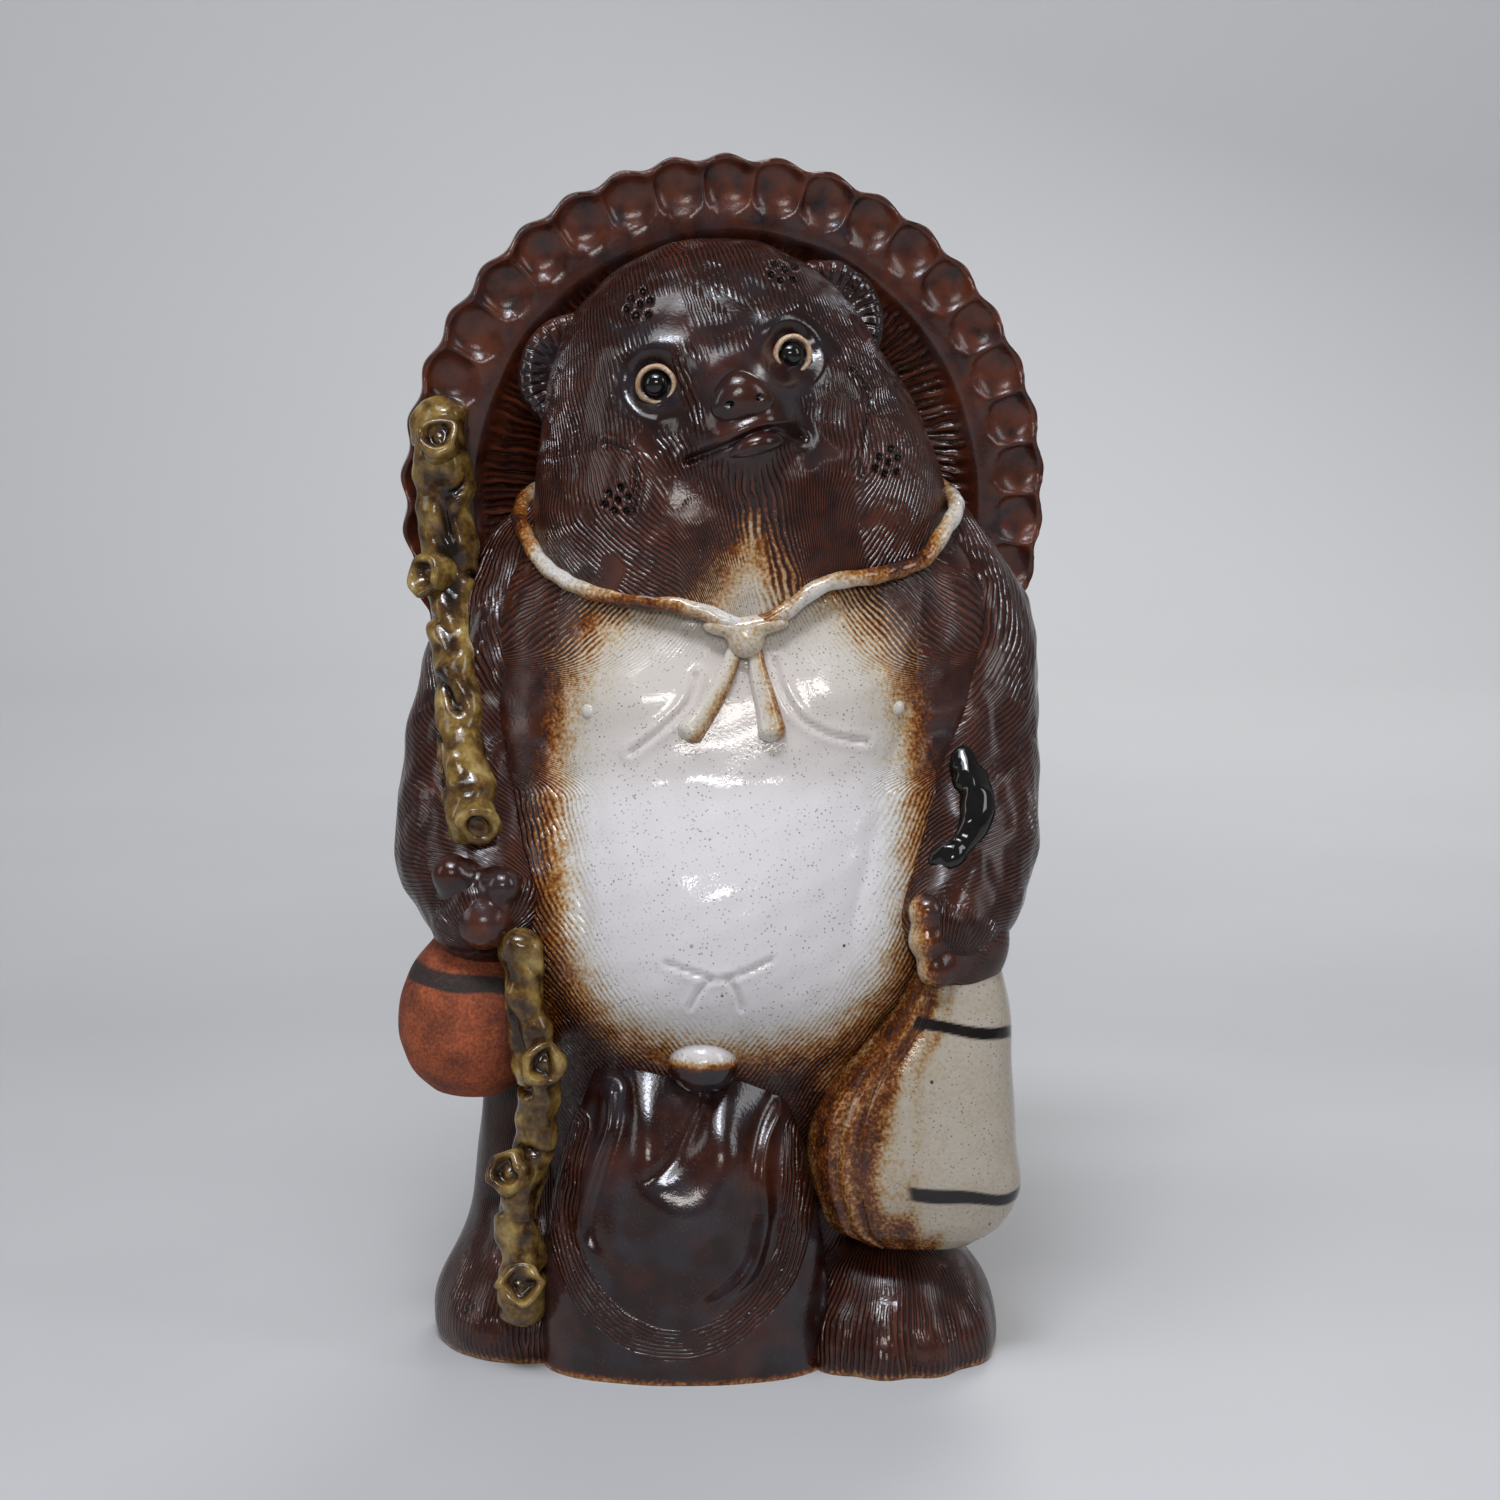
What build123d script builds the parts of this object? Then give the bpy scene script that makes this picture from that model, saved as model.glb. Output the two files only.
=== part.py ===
from build123d import *

import os
from math import cos, exp, pi, sin
from typing import NamedTuple

# A glazed stoneware tanuki figure as the potter makes it: pressed half shells and separately
# formed clay pieces, each seated on the shell that carries it.
# Millimetres, +Z up. The origin is on the floor under the middle of the base, and the figure
# faces -Y. Left and right are the figure's own, so its left side is at +X.

WALL = 8.0  # pressed clay thickness of the body and head shells
SLAB_THICKNESS = 9.0  # floor of the body
VENT_RADIUS = 17.0  # kiln vent through the floor
VENT_SETBACK = 26.0  # vent centre behind the middle of the base


class Section(NamedTuple):
    """A level cross-section: half an ellipse in front and another behind."""

    height: float
    half_width: float
    front: float
    back: float
    shift: float = 0.0  # of the middle, towards the figure's left
    snout: float = 0.0  # how far the middle of the front stands out


class Station(NamedTuple):
    """A point on the middle line of a rolled piece, with its radius there."""

    x: float
    y: float
    z: float
    radius: float


BODY_SECTIONS = [
    Section(0, 85, 60, 66),  # base
    Section(34, 82, 59, 71),  # shins
    Section(68, 82, 61, 75),  # lap
    Section(102, 85, 72, 77),  # fold under the belly
    Section(136, 87, 89, 76),  # belly
    Section(170, 87, 88, 73),  # ribs
    Section(204, 85.5, 76, 66, 3),  # chest
    Section(238, 85, 64, 58, 7),  # shoulders
    Section(272, 74, 54, 48, 10),  # collar that carries the head
]
BODY_POINTS = 16  # points on each cross-section of the body

HEAD_PLACE = (16.0, -12.0, 256.0)  # foot of the head's own axis
HEAD_ROLL = 12.0  # the crown leans to the figure's right
HEAD_YAW = 9.0  # the face looks to the figure's left
HEAD_SECTIONS = [
    Section(-12, 63, 47, 45),  # foot, below the collar
    Section(8, 70, 53, 51),
    Section(28, 73, 55, 54),  # jowls
    Section(46, 72, 54, 54, 0, 3),
    Section(60, 69, 52, 52, 0, 14),  # chin
    Section(72, 65.5, 49.5, 51, 0, 23),  # mouth
    Section(84, 61, 46, 48, 0, 20),  # nose
    Section(96, 56, 42, 45, 0, 8),  # eyes
    Section(110, 48, 35, 38, 0, 2),  # brow
    Section(123, 35, 25, 27),
    Section(132, 17, 12, 13),  # crown
]
HEAD_POINTS = 32  # points on each cross-section of the head
SNOUT_HALF_WIDTH = 22.0  # where the snout has sunk to a third of its reach

NOSE_HEIGHT = 81.0
NOSE_RADIUS = 9.0
NOSE_SINK = 2.0
LIP_HEIGHT = 63.0
LIP_RADIUS = 9.0  # of the arc that the lip bends round
LIP_ROLL = 3.0
EYE_SPACING = 47.0
EYE_HEIGHT = 89.5
EYEBALL_RADIUS = 5.4
EYEBALL_SINK = 1.0
EYE_RING_RADIUS = 6.0  # to the middle of the ring's roll
EYE_RING_ROLL = 1.6

EAR_RADIUS = 21.0
EAR_SPACING = 88.0
EAR_HEIGHT = 97.0
EAR_THICKNESS = 9.0
EAR_EDGE = 3.5
EAR_SETBACK = 2.0

HAT_PLACE = (4.8, 15.0, 296.0)  # middle of the brim
HAT_RADIUS = 123.0
HAT_YAW = 12.0  # the open side looks to the figure's left
HAT_TILT = 8.0  # the top of the brim leans forwards
HAT_DEPTH = 52.0
HAT_THICKNESS = 7.0
BRIM_WIDTH = 22.0
BRIM_RISE = 3.0
CROWN_RING_RADIUS = 92.0
CROWN_RING_ROLL = 2.2
THUMB_MARKS = 38
THUMB_RADIUS = 11.0
THUMB_DEPTH = 4.0
THUMB_INSET = 8.5  # mark centre inside the brim's edge

CORD_RADIUS = 4.2
KNOT_PLACE = (11.0, 257.0)  # x and z on the chest
KNOT_RADIUS = 8.0
KNOT_PROUD = 1.5  # its middle in front of the chest
RIGHT_CORD_END = (-66.0, -14.0, 290.0)
LEFT_CORD_END = (82.0, -14.0, 292.0)
RIGHT_CORD_SAG = (-40.0, 270.0)  # x and z half way
LEFT_CORD_SAG = (54.0, 272.0)
CORD_TAIL_ROOT_RADIUS = 2.6
CORD_TAIL_END_RADIUS = 4.6
RIGHT_CORD_TAIL = (-5.0, 223.0)
LEFT_CORD_TAIL = (20.0, 224.0)
BEAD_RADIUS = 3.6
BEAD_PLACES = [(-42.0, 230.0), (61.0, 231.0)]

RIGHT_ARM = [
    Station(-56, 2, 280, 18),
    Station(-75, -6, 244, 25),
    Station(-84, -20, 208, 26),
    Station(-87, -42, 178, 24),
    Station(-80, -66, 160, 17),
]
LEFT_ARM = [
    Station(72, 2, 280, 18),
    Station(86, -6, 246, 25),
    Station(89, -20, 210, 25),
    Station(89, -40, 178, 23),
    Station(82, -62, 154, 17),
]
HAND_RADIUS = 16.0
FINGER_RADIUS = 7.5
RIGHT_HAND = (-79.0, -66.0, 166.0)
RIGHT_FINGERS = [(-89, -73, 175), (-72, -76, 172), (-79, -78, 160)]
LEFT_HAND = (82.0, -62.0, 152.0)
LEFT_FINGERS = [(71, -73, 165), (71, -74, 153), (74, -74, 141)]

FLASK_PLACE = (-87.0, -52.0, 94.0)  # middle of its foot
FLASK_RADIUS = 25.0
FLASK_HEIGHT = 66.0
FLASK_FOOT_RADIUS = 13.0
FLASK_NECK_RADIUS = 9.0
FLASK_BULB_HEIGHT = 27.0
FLASK_LEAN = 6.0  # the neck leans towards the hand

BOOK_SECTIONS = [
    Section(46, 24, 19, 19, -2),
    Section(71, 36, 26, 24, -4),
    Section(96, 32, 24, 24, -2),
    Section(121, 22, 19, 20, 6),
    Section(146, 13, 12, 14, 11),
]
BOOK_PLACE = (73.0, -56.0)

STAFF_UPPER = [
    Station(-98, 1, 333, 10.5),
    Station(-96, -9, 296, 10),
    Station(-95, -27, 258, 9),
    Station(-91, -44, 218, 9),
    Station(-81, -60, 184, 10),
]
STAFF_LOWER = [
    Station(-66, -76, 152, 8.5),
    Station(-62, -72, 121, 8.5),
    Station(-61, -69, 90, 7.5),
    Station(-66, -67, 59, 8.5),
    Station(-67, -67, 28, 9.5),
]
STUB_RADIUS = 7.0
STUB_LENGTH = 9.0
STUB_DISH = 2.0  # depth of the hollow cut in each stub's end
STUB_DISH_RADIUS = 4.0
UPPER_STUBS = [  # where each stub leaves the staff, and the way it points
    ((-100, -6, 328), (-0.2, -1, 0.5)),
    ((-96, -22, 276), (-0.6, -1, 0.1)),
    ((-88, -52, 204), (-0.3, -1, 0.3)),
]
LOWER_STUBS = [
    ((-58, -77, 114), (0.35, -1, 0.1)),
    ((-70, -72, 74), (-0.5, -1, 0.3)),
    ((-67, -74, 36), (0, -1, 0.25)),
]

SACK_SECTIONS = [
    Section(0, 47, 22, 33),
    Section(27, 49, 28, 33),
    Section(54, 46, 28, 32),
    Section(81, 40, 22, 30),
    Section(108, 29, 8, 24),
]
SACK_PLACE = (-10.0, -64.0)
KNOB_PLACE = (-4.0, 110.0)  # x and z under the belly
KNOB_RADIUS = 11.0
KNOB_SINK = 4.0

RIGHT_FOOT_SECTIONS = [
    Section(0, 32, 36, 36),
    Section(22, 31, 35, 35),
    Section(44, 23, 26, 26),
    Section(66, 18, 20, 20),
    Section(88, 12, 14, 14),
]
RIGHT_FOOT = (-69.0, -28.0)
LEFT_FOOT_SECTIONS = [
    Section(0, 39, 44, 44),
    Section(15, 38, 43, 43),
    Section(30, 31, 35, 35),
    Section(45, 12, 14, 14),
]
LEFT_FOOT = (62.0, -38.0)
TOE_GROOVE_RADIUS = 3.0
TOE_GROOVE_HEIGHT = 12.0
TOE_GROOVES = 3
TOE_SPACING = 15.0

TAIL = [
    Station(6, 62, 92, 12),
    Station(8, 82, 66, 20),
    Station(9, 88, 36, 21),
    Station(8, 78, 4, 16),
]

FAR = 600.0  # longer than any piece
PAST = 2.0  # how far a cutting tool runs past what it cuts


def main_solid(shape):
    """The largest solid of a cut shape, without the crumbs that a cut may leave."""
    return max(shape.solids(), key=lambda solid: solid.volume)


def seated(shape, *seats):
    """A piece with everything that it is pressed on cut out of it."""
    for seat in seats:
        shape = shape - seat
    return main_solid(shape)


def above(height, shape):
    """The part of a shape that stands over a level."""
    return main_solid(shape - Pos(0, 0, height - FAR / 2) * Box(FAR, FAR, FAR))


def front_of(solid, x, z):
    """The point where the front of a solid stands at x and z."""
    hits = solid.find_intersection_points(Axis((x, -FAR, z), (0, 1, 0)))
    return min((point for point, _ in hits), key=lambda point: point.Y)


def section_face(section, count, inset):
    """The face of a cross-section, drawn in by an inset."""
    points = []
    for step in range(count):
        angle = 2 * pi * (step / count + 0.25)  # the seam runs down the back
        x = (section.half_width - inset) * cos(angle)
        if sin(angle) < 0:
            reach = section.snout * exp(-((x / SNOUT_HALF_WIDTH) ** 2))
            y = (section.front - inset) * sin(angle) - reach
        else:
            y = (section.back - inset) * sin(angle)
        points.append((section.shift + x, y))
    return Pos(0, 0, section.height) * make_face(Spline(points, periodic=True))


def section_loft(sections, count=BODY_POINTS, inset=0.0):
    """A smooth solid through level cross-sections."""
    return loft([section_face(section, count, inset) for section in sections])


def roll(stations):
    """A rolled piece of clay through round cross-sections."""
    points = [Vector(s.x, s.y, s.z) for s in stations]
    faces = []
    for index, station in enumerate(stations):
        ahead = points[min(index + 1, len(points) - 1)]
        behind = points[max(index - 1, 0)]
        way = ahead - behind
        plane = Plane(points[index], x_dir=Vector(0, 1, 0).cross(way), z_dir=way)
        faces.append(plane * Circle(station.radius))
    return loft(faces)


def halves(shape, place=Pos(0, 0, 0)):
    """The front and the back of a shape, parted on the upright plane of a place."""
    front = place * Pos(0, -FAR / 2, 0) * Box(FAR, FAR, 2 * FAR)
    return main_solid(shape & front), main_solid(shape - front)


def body_hollow():
    """The inside of the body, run past both open ends."""
    foot = BODY_SECTIONS[0]
    neck = BODY_SECTIONS[-1]
    low = foot._replace(height=foot.height - PAST)
    high = neck._replace(height=neck.height + PAST)
    return section_loft([low, *BODY_SECTIONS[1:-1], high], inset=WALL)


def base_slab(hollow):
    floor = Pos(0, 0, SLAB_THICKNESS / 2) * Box(FAR, FAR, SLAB_THICKNESS)
    vent = Pos(0, VENT_SETBACK, 0) * Cylinder(VENT_RADIUS, FAR)
    return main_solid((hollow & floor) - vent)


def head_hollow():
    """The inside of the head, open below and closed under the crown."""
    sections = [section._replace(snout=0.0) for section in HEAD_SECTIONS[:-2:2]]
    sections[0] = sections[0]._replace(height=sections[0].height - PAST)
    sections[-1] = sections[-1]._replace(height=sections[-1].height - WALL)
    return section_loft(sections, inset=WALL)


def head_location():
    """Where the head's own frame stands on the body."""
    return Pos(*HEAD_PLACE) * Rot(0, -HEAD_ROLL, 0) * Rot(0, 0, HEAD_YAW)


def eyeball(place):
    return Pos(place.X, place.Y + EYEBALL_SINK, place.Z) * Sphere(EYEBALL_RADIUS)


def eye_ring(place, face, ball):
    ring = Pos(*place) * Rot(90, 0, 0) * Torus(EYE_RING_RADIUS, EYE_RING_ROLL)
    return seated(ring, face, ball)


def nose_pad(face):
    place = front_of(face, 0, NOSE_HEIGHT)
    return seated(Pos(place.X, place.Y + NOSE_SINK, place.Z) * Sphere(NOSE_RADIUS), face)


def lower_lip(face):
    """Half a ring of clay, bent round the end of the chin."""
    place = front_of(face, 0, LIP_HEIGHT)
    ring = Pos(place.X, place.Y + LIP_RADIUS, place.Z) * Torus(LIP_RADIUS, LIP_ROLL)
    return seated(ring, face)


def ear(side, head):
    disc = Rot(90, 0, 0) * Cylinder(EAR_RADIUS, EAR_THICKNESS)
    disc = fillet(disc.edges().filter_by(GeomType.CIRCLE), EAR_EDGE)
    return seated(Pos(side * EAR_SPACING / 2, EAR_SETBACK, EAR_HEIGHT) * disc, head)


def straw_hat():
    """A shallow cone with a thumbed brim, the dished side to the front."""
    brim = HAT_RADIUS - BRIM_WIDTH
    under = [(HAT_RADIUS, 0), (brim, BRIM_RISE), (0, HAT_DEPTH)]
    over = [(r, z + HAT_THICKNESS) for r, z in reversed(under)]
    cone = revolve(Plane.YZ * make_face(Polyline(*under, *over, close=True)), Axis.Z)
    slope = (HAT_DEPTH - BRIM_RISE) / brim
    ring_height = BRIM_RISE + (brim - CROWN_RING_RADIUS) * slope
    cone = cone + Pos(0, 0, ring_height) * Torus(CROWN_RING_RADIUS, CROWN_RING_ROLL)
    mark_height = THUMB_DEPTH - THUMB_RADIUS + BRIM_RISE * THUMB_INSET / BRIM_WIDTH
    thumb = Pos(0, 0, mark_height) * Sphere(THUMB_RADIUS)
    cone = cone - PolarLocations(HAT_RADIUS - THUMB_INSET, THUMB_MARKS) * thumb
    return Pos(*HAT_PLACE) * Rot(0, 0, HAT_YAW) * Rot(-90 + HAT_TILT, 0, 0) * cone


def chin_cord(end, sag, knot_place, body):
    half_way = front_of(body, *sag)
    path = ThreePointArc(end, half_way, knot_place)
    return sweep(Plane(path @ 0, z_dir=path % 0) * Circle(CORD_RADIUS), path)


def cord_tail(end, knot_place, body):
    tip = front_of(body, *end)
    middle = (knot_place + tip) * 0.5
    middle = front_of(body, middle.X, middle.Z)
    root = Station(*knot_place, CORD_TAIL_ROOT_RADIUS)
    half = Station(*middle, (CORD_TAIL_ROOT_RADIUS + CORD_TAIL_END_RADIUS) / 2)
    drop = Station(*tip, CORD_TAIL_END_RADIUS)
    return roll([root, half, drop])


def hand(place, fingers):
    fist = Pos(*place) * Sphere(HAND_RADIUS)
    return fist + [Pos(*finger) * Sphere(FINGER_RADIUS) for finger in fingers]


def sake_flask():
    """A gourd turned about its own axis, foot down."""
    side = Spline(
        (FLASK_FOOT_RADIUS, 0),
        (FLASK_RADIUS, FLASK_BULB_HEIGHT),
        (FLASK_NECK_RADIUS, FLASK_HEIGHT),
        tangents=[(1, 0.6), (0, 1)],
    )
    top = (0, FLASK_HEIGHT)
    edges = [Line((0, 0), side @ 0), side, Line(side @ 1, top), Line(top, (0, 0))]
    turned = revolve(Plane.XZ * make_face(edges), Axis.Z)
    return Pos(*FLASK_PLACE) * Rot(0, FLASK_LEAN, 0) * turned


def staff_stub(place, way):
    """A cut side shoot, with a dished end."""
    dish_ball = (STUB_DISH_RADIUS**2 + STUB_DISH**2) / (2 * STUB_DISH)
    dish = Pos(0, 0, STUB_LENGTH / 2 + dish_ball - STUB_DISH) * Sphere(dish_ball)
    return Plane(place, z_dir=way) * (Cylinder(STUB_RADIUS, STUB_LENGTH) - dish)


def foot(place, sections):
    paw = section_loft(sections)
    reach = sections[0].front
    for index in range(TOE_GROOVES):
        across = (index - (TOE_GROOVES - 1) / 2) * TOE_SPACING
        groove = Rot(90, 0, 0) * Cylinder(TOE_GROOVE_RADIUS, reach)
        paw = paw - Pos(across, -reach, TOE_GROOVE_HEIGHT) * groove
    return Pos(*place, 0) * paw


def build_body(pieces):
    """The hollow body, and the solid that the other pieces are pressed on."""
    body = section_loft(BODY_SECTIONS)
    hollow = body_hollow()
    shell = body - hollow
    pieces["body_front_shell"], pieces["body_back_shell"] = halves(shell)
    pieces["base_slab"] = base_slab(hollow)
    return body


def build_head(pieces, body):
    """The hollow head with all of the face, the ears and the hat behind it."""
    face = section_loft(HEAD_SECTIONS, HEAD_POINTS)
    place = head_location()
    head = above(BODY_SECTIONS[-1].height, place * face)
    skull = head - place * head_hollow()
    for side, name in ((-1, "right"), (1, "left")):
        at = front_of(face, side * EYE_SPACING / 2, EYE_HEIGHT)
        ball = eyeball(at)
        skull = skull - place * ball
        pieces[f"{name}_eyeball"] = place * ball
        pieces[f"{name}_eye_ring"] = place * eye_ring(at, face, ball)
        pieces[f"{name}_ear"] = place * ear(side, face)
    pieces["nose_pad"] = place * nose_pad(face)
    pieces["lower_lip"] = place * lower_lip(face)
    pieces["head_front_shell"], pieces["head_back_shell"] = halves(skull, place)
    pieces["straw_hat"] = seated(straw_hat(), head, body, pieces["right_ear"], pieces["left_ear"])
    return head


def build_limbs(pieces, body, head):
    """The arms, hands, feet and tail."""
    hat = pieces["straw_hat"]
    pieces["right_arm"] = seated(roll(RIGHT_ARM), body, head, hat)
    pieces["left_arm"] = seated(roll(LEFT_ARM), body, head, hat)
    pieces["right_hand"] = seated(hand(RIGHT_HAND, RIGHT_FINGERS), body, pieces["right_arm"])
    pieces["left_hand"] = seated(hand(LEFT_HAND, LEFT_FINGERS), body, pieces["left_arm"])
    pieces["money_sack"] = seated(Pos(*SACK_PLACE, 0) * section_loft(SACK_SECTIONS), body)
    under = front_of(body, *KNOB_PLACE)
    knob = Pos(under.X, under.Y + KNOB_SINK, under.Z) * Sphere(KNOB_RADIUS)
    pieces["sack_knob"] = seated(knob, body, pieces["money_sack"])
    right_foot = foot(RIGHT_FOOT, RIGHT_FOOT_SECTIONS)
    pieces["right_foot"] = seated(right_foot, body, pieces["money_sack"])
    left_foot = foot(LEFT_FOOT, LEFT_FOOT_SECTIONS)
    pieces["left_foot"] = seated(left_foot, body, pieces["money_sack"])
    pieces["tail"] = above(0, seated(roll(TAIL), body))


def build_cord(pieces, body, head):
    """The hat's cord, tied on the chest, and the beads beside it."""
    at = front_of(body, *KNOT_PLACE)
    ball = Pos(at.X, at.Y - KNOT_PROUD, at.Z) * Sphere(KNOT_RADIUS)
    knot = seated(ball, body, head)
    pieces["cord_knot"] = knot
    right = chin_cord(RIGHT_CORD_END, RIGHT_CORD_SAG, at, body)
    pieces["right_chin_cord"] = seated(right, body, head, knot, pieces["right_arm"])
    left = chin_cord(LEFT_CORD_END, LEFT_CORD_SAG, at, body)
    pieces["left_chin_cord"] = seated(left, body, head, knot, pieces["left_arm"])
    right_tail = seated(cord_tail(RIGHT_CORD_TAIL, at, body), body, knot)
    pieces["right_cord_tail"] = right_tail
    pieces["left_cord_tail"] = seated(cord_tail(LEFT_CORD_TAIL, at, body), body, knot, right_tail)
    beads = [Pos(*front_of(body, *place)) * Sphere(BEAD_RADIUS) for place in BEAD_PLACES]
    pieces["chest_beads"] = Compound(children=[seated(bead, body) for bead in beads])


def build_gear(pieces, body):
    """What the figure carries: flask, book and staff."""
    arm, fist = pieces["right_arm"], pieces["right_hand"]
    foot_below, sack, hat = pieces["right_foot"], pieces["money_sack"], pieces["straw_hat"]
    flask = seated(sake_flask(), body, arm, fist, foot_below)
    pieces["sake_flask"] = flask
    book = Pos(*BOOK_PLACE, 0) * section_loft(BOOK_SECTIONS)
    book_seats = (body, pieces["left_arm"], pieces["left_hand"], pieces["left_foot"])
    pieces["account_book"] = seated(book, *book_seats)
    upper = seated(roll(STAFF_UPPER), hat, arm, fist, body)
    lower = seated(roll(STAFF_LOWER), body, fist, flask, foot_below, sack)
    pieces["staff_upper"] = upper
    pieces["staff_lower"] = lower
    stubs = [seated(staff_stub(*stub), upper, hat, arm) for stub in UPPER_STUBS]
    stubs += [seated(staff_stub(*stub), lower, sack, flask) for stub in LOWER_STUBS]
    pieces["staff_stubs"] = Compound(children=stubs)


def build_figure():
    pieces = {}
    body = build_body(pieces)
    head = build_head(pieces, body)
    build_limbs(pieces, body, head)
    build_cord(pieces, body, head)
    build_gear(pieces, body)
    return pieces


os.makedirs("parts", exist_ok=True)
for name, piece in build_figure().items():
    export_step(piece, f"parts/{name}.step")
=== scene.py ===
from functools import partial
import bpy
import numpy as np
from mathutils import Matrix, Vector


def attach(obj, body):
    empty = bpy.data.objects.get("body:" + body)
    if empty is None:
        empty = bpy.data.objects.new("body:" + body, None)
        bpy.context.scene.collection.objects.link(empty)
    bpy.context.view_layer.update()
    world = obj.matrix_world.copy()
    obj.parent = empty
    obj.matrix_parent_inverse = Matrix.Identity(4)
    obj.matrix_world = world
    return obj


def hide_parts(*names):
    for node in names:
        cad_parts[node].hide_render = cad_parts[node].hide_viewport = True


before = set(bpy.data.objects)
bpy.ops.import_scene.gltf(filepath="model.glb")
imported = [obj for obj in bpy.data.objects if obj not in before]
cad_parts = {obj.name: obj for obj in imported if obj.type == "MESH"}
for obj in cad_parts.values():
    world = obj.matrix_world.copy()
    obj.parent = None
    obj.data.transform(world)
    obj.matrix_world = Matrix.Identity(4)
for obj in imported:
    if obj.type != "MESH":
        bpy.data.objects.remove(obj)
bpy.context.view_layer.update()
mm = 0.001  # every length below is in millimetres until it reaches a mesh
turn = 2 * np.pi
sides = ((-1, "right"), (1, "left"))  # the figure's own right is towards -x


# shared shape tools

def xyz(x, y, z):
    # three arrays spread to one shape and stacked as points
    return np.stack(np.broadcast_arrays(x, y, z), axis=-1)


def curveThrough(at, stations, values):
    # cubic through the stations, each slope the central difference of its neighbours
    stations, values = np.asarray(stations, float), np.asarray(values, float)
    at = np.clip(at, stations[0], stations[-1])
    slopes = np.gradient(values, stations)
    i = np.clip(np.searchsorted(stations, at) - 1, 0, len(stations) - 2)
    span = stations[i + 1] - stations[i]
    t = (at - stations[i]) / span
    low = values[i] * (1 + 2 * t) * (1 - t) ** 2 + span * slopes[i] * t * (1 - t) ** 2
    high = values[i + 1] * t * t * (3 - 2 * t) + span * slopes[i + 1] * t * t * (t - 1)
    return low + high


def sized(piece, at, *keys):
    # the named sizes of a piece at a height, each a cubic through its levels
    return [curveThrough(at, piece["levels"], piece[key]) for key in keys]


def smoothStep(low, high, value):
    # 0 at low and 1 at high, eased at both ends by 3tt - 2ttt; low may be the greater
    t = np.clip((value - low) / (high - low), 0, 1)
    return t * t * (3 - 2 * t)


def hill(u, v, u0, v0, ru, rv):
    # bell-shaped hill of height 1 at (u0, v0), a third high at the half sizes ru and rv
    return np.exp(-((u - u0) / ru) ** 2 - ((v - v0) / rv) ** 2)


def hills(u, v, rows):
    # several hills added up, each row a hill's place, half sizes and height
    return sum(high * hill(u, v, *row) for *row, high in rows)


def scored(gap, deep, wide, rim, rimAt, rimWide):
    # a groove this far off: a bell of its depth and width, less a lower bell beside it for the raised rim
    return deep * np.exp(-(gap / wide) ** 2) - rim * np.exp(-((gap - rimAt) / rimWide) ** 2)


def lineDistance(u, v, line):
    # distance from each (u, v) to a line of straight runs
    best = np.full(np.shape(u), 1e9)
    for (u0, v0), (u1, v1) in zip(line[:-1], line[1:]):
        du, dv = u1 - u0, v1 - v0
        t = np.clip(((u - u0) * du + (v - v0) * dv) / (du * du + dv * dv), 0, 1)
        best = np.minimum(best, np.hypot(u - u0 - t * du, v - v0 - t * dv))
    return best


def drawnLine(points, count=36):
    # a freehand line or profile: the curve through a few points, cut into short straight runs
    points = np.asarray(points, float)
    at = np.linspace(0, len(points) - 1, count)
    return np.stack([curveThrough(at, np.arange(len(points)), points[:, k]) for k in (0, 1)], axis=-1)


def handWobble(points, size, seed):
    # smooth hand-made unevenness, about -1 to 1: six sine waves of about that size in random directions
    draw = np.random.default_rng(seed)
    total = np.zeros(points.shape[:-1])
    for wave in range(6):
        way = draw.normal(size=3)
        way *= turn / (size * draw.uniform(0.7, 1.5) * np.linalg.norm(way))
        total += np.sin(points @ way + draw.uniform(0, turn))
    return total / 3.5


def turnAbout(axis, degrees):
    # matrix of a turn about x, y or z: the other two axes trade cosine and sine
    angle = np.radians(degrees)
    a, b = [k for k in range(3) if k != axis]
    matrix = np.eye(3)
    matrix[a, a] = matrix[b, b] = np.cos(angle)
    matrix[a, b], matrix[b, a] = -np.sin(angle), np.sin(angle)
    return matrix


def spinAround(cols):
    # even angles once round; in a level row 0 is the figure's left and -90 degrees its front
    return np.linspace(-np.pi, np.pi, cols, endpoint=False)


def denseFront(cols, inFront):
    # angles once round, with that many of the columns on the front half
    front = np.linspace(-np.pi, 0, inFront, endpoint=False)
    return np.concatenate([front, np.linspace(0, np.pi, cols - inFront, endpoint=False)])[None, :]


def fromFront(spin):
    # angle from the middle of the front, the same to either side
    return np.abs((spin + np.pi / 2 + np.pi) % turn - np.pi)


def blendMin(a, b, k):
    # the lesser of two distances, rounded over k where they cross
    h = np.clip(0.5 + 0.5 * (b - a) / k, 0, 1)
    return b * (1 - h) + a * h - k * h * (1 - h)


def rollDistance(points, stations):
    # distance from each point to the skin of a roll of clay given as x, y, z, radius stations
    stations = np.asarray(stations, float)
    best = np.full(points.shape[:-1], 1e9)
    for a, b in zip(stations[:-1], stations[1:]):
        run = b[:3] - a[:3]
        t = np.clip(((points - a[:3]) @ run) / (run @ run), 0, 1)
        gap = np.linalg.norm(points - a[:3] - t[..., None] * run, axis=-1)
        best = np.minimum(best, gap - (a[3] + t * (b[3] - a[3])))
    return best


def ballDistance(points, centre, size):
    # rough distance from each point to the skin of a stretched ball
    size = np.asarray(size, float)
    return (np.linalg.norm((points - np.asarray(centre, float)) / size, axis=-1) - 1) * size.min()


def unitBall(rows, cols):
    # directions of a ball from its foot to its crown, none at the poles themselves
    tilt = np.linspace(-np.pi / 2, np.pi / 2, rows + 2)[1:-1, None]
    spin = np.linspace(0, turn, cols, endpoint=False)[None, :]
    return xyz(np.cos(tilt) * np.cos(spin), np.cos(tilt) * np.sin(spin), np.sin(tilt))


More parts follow.
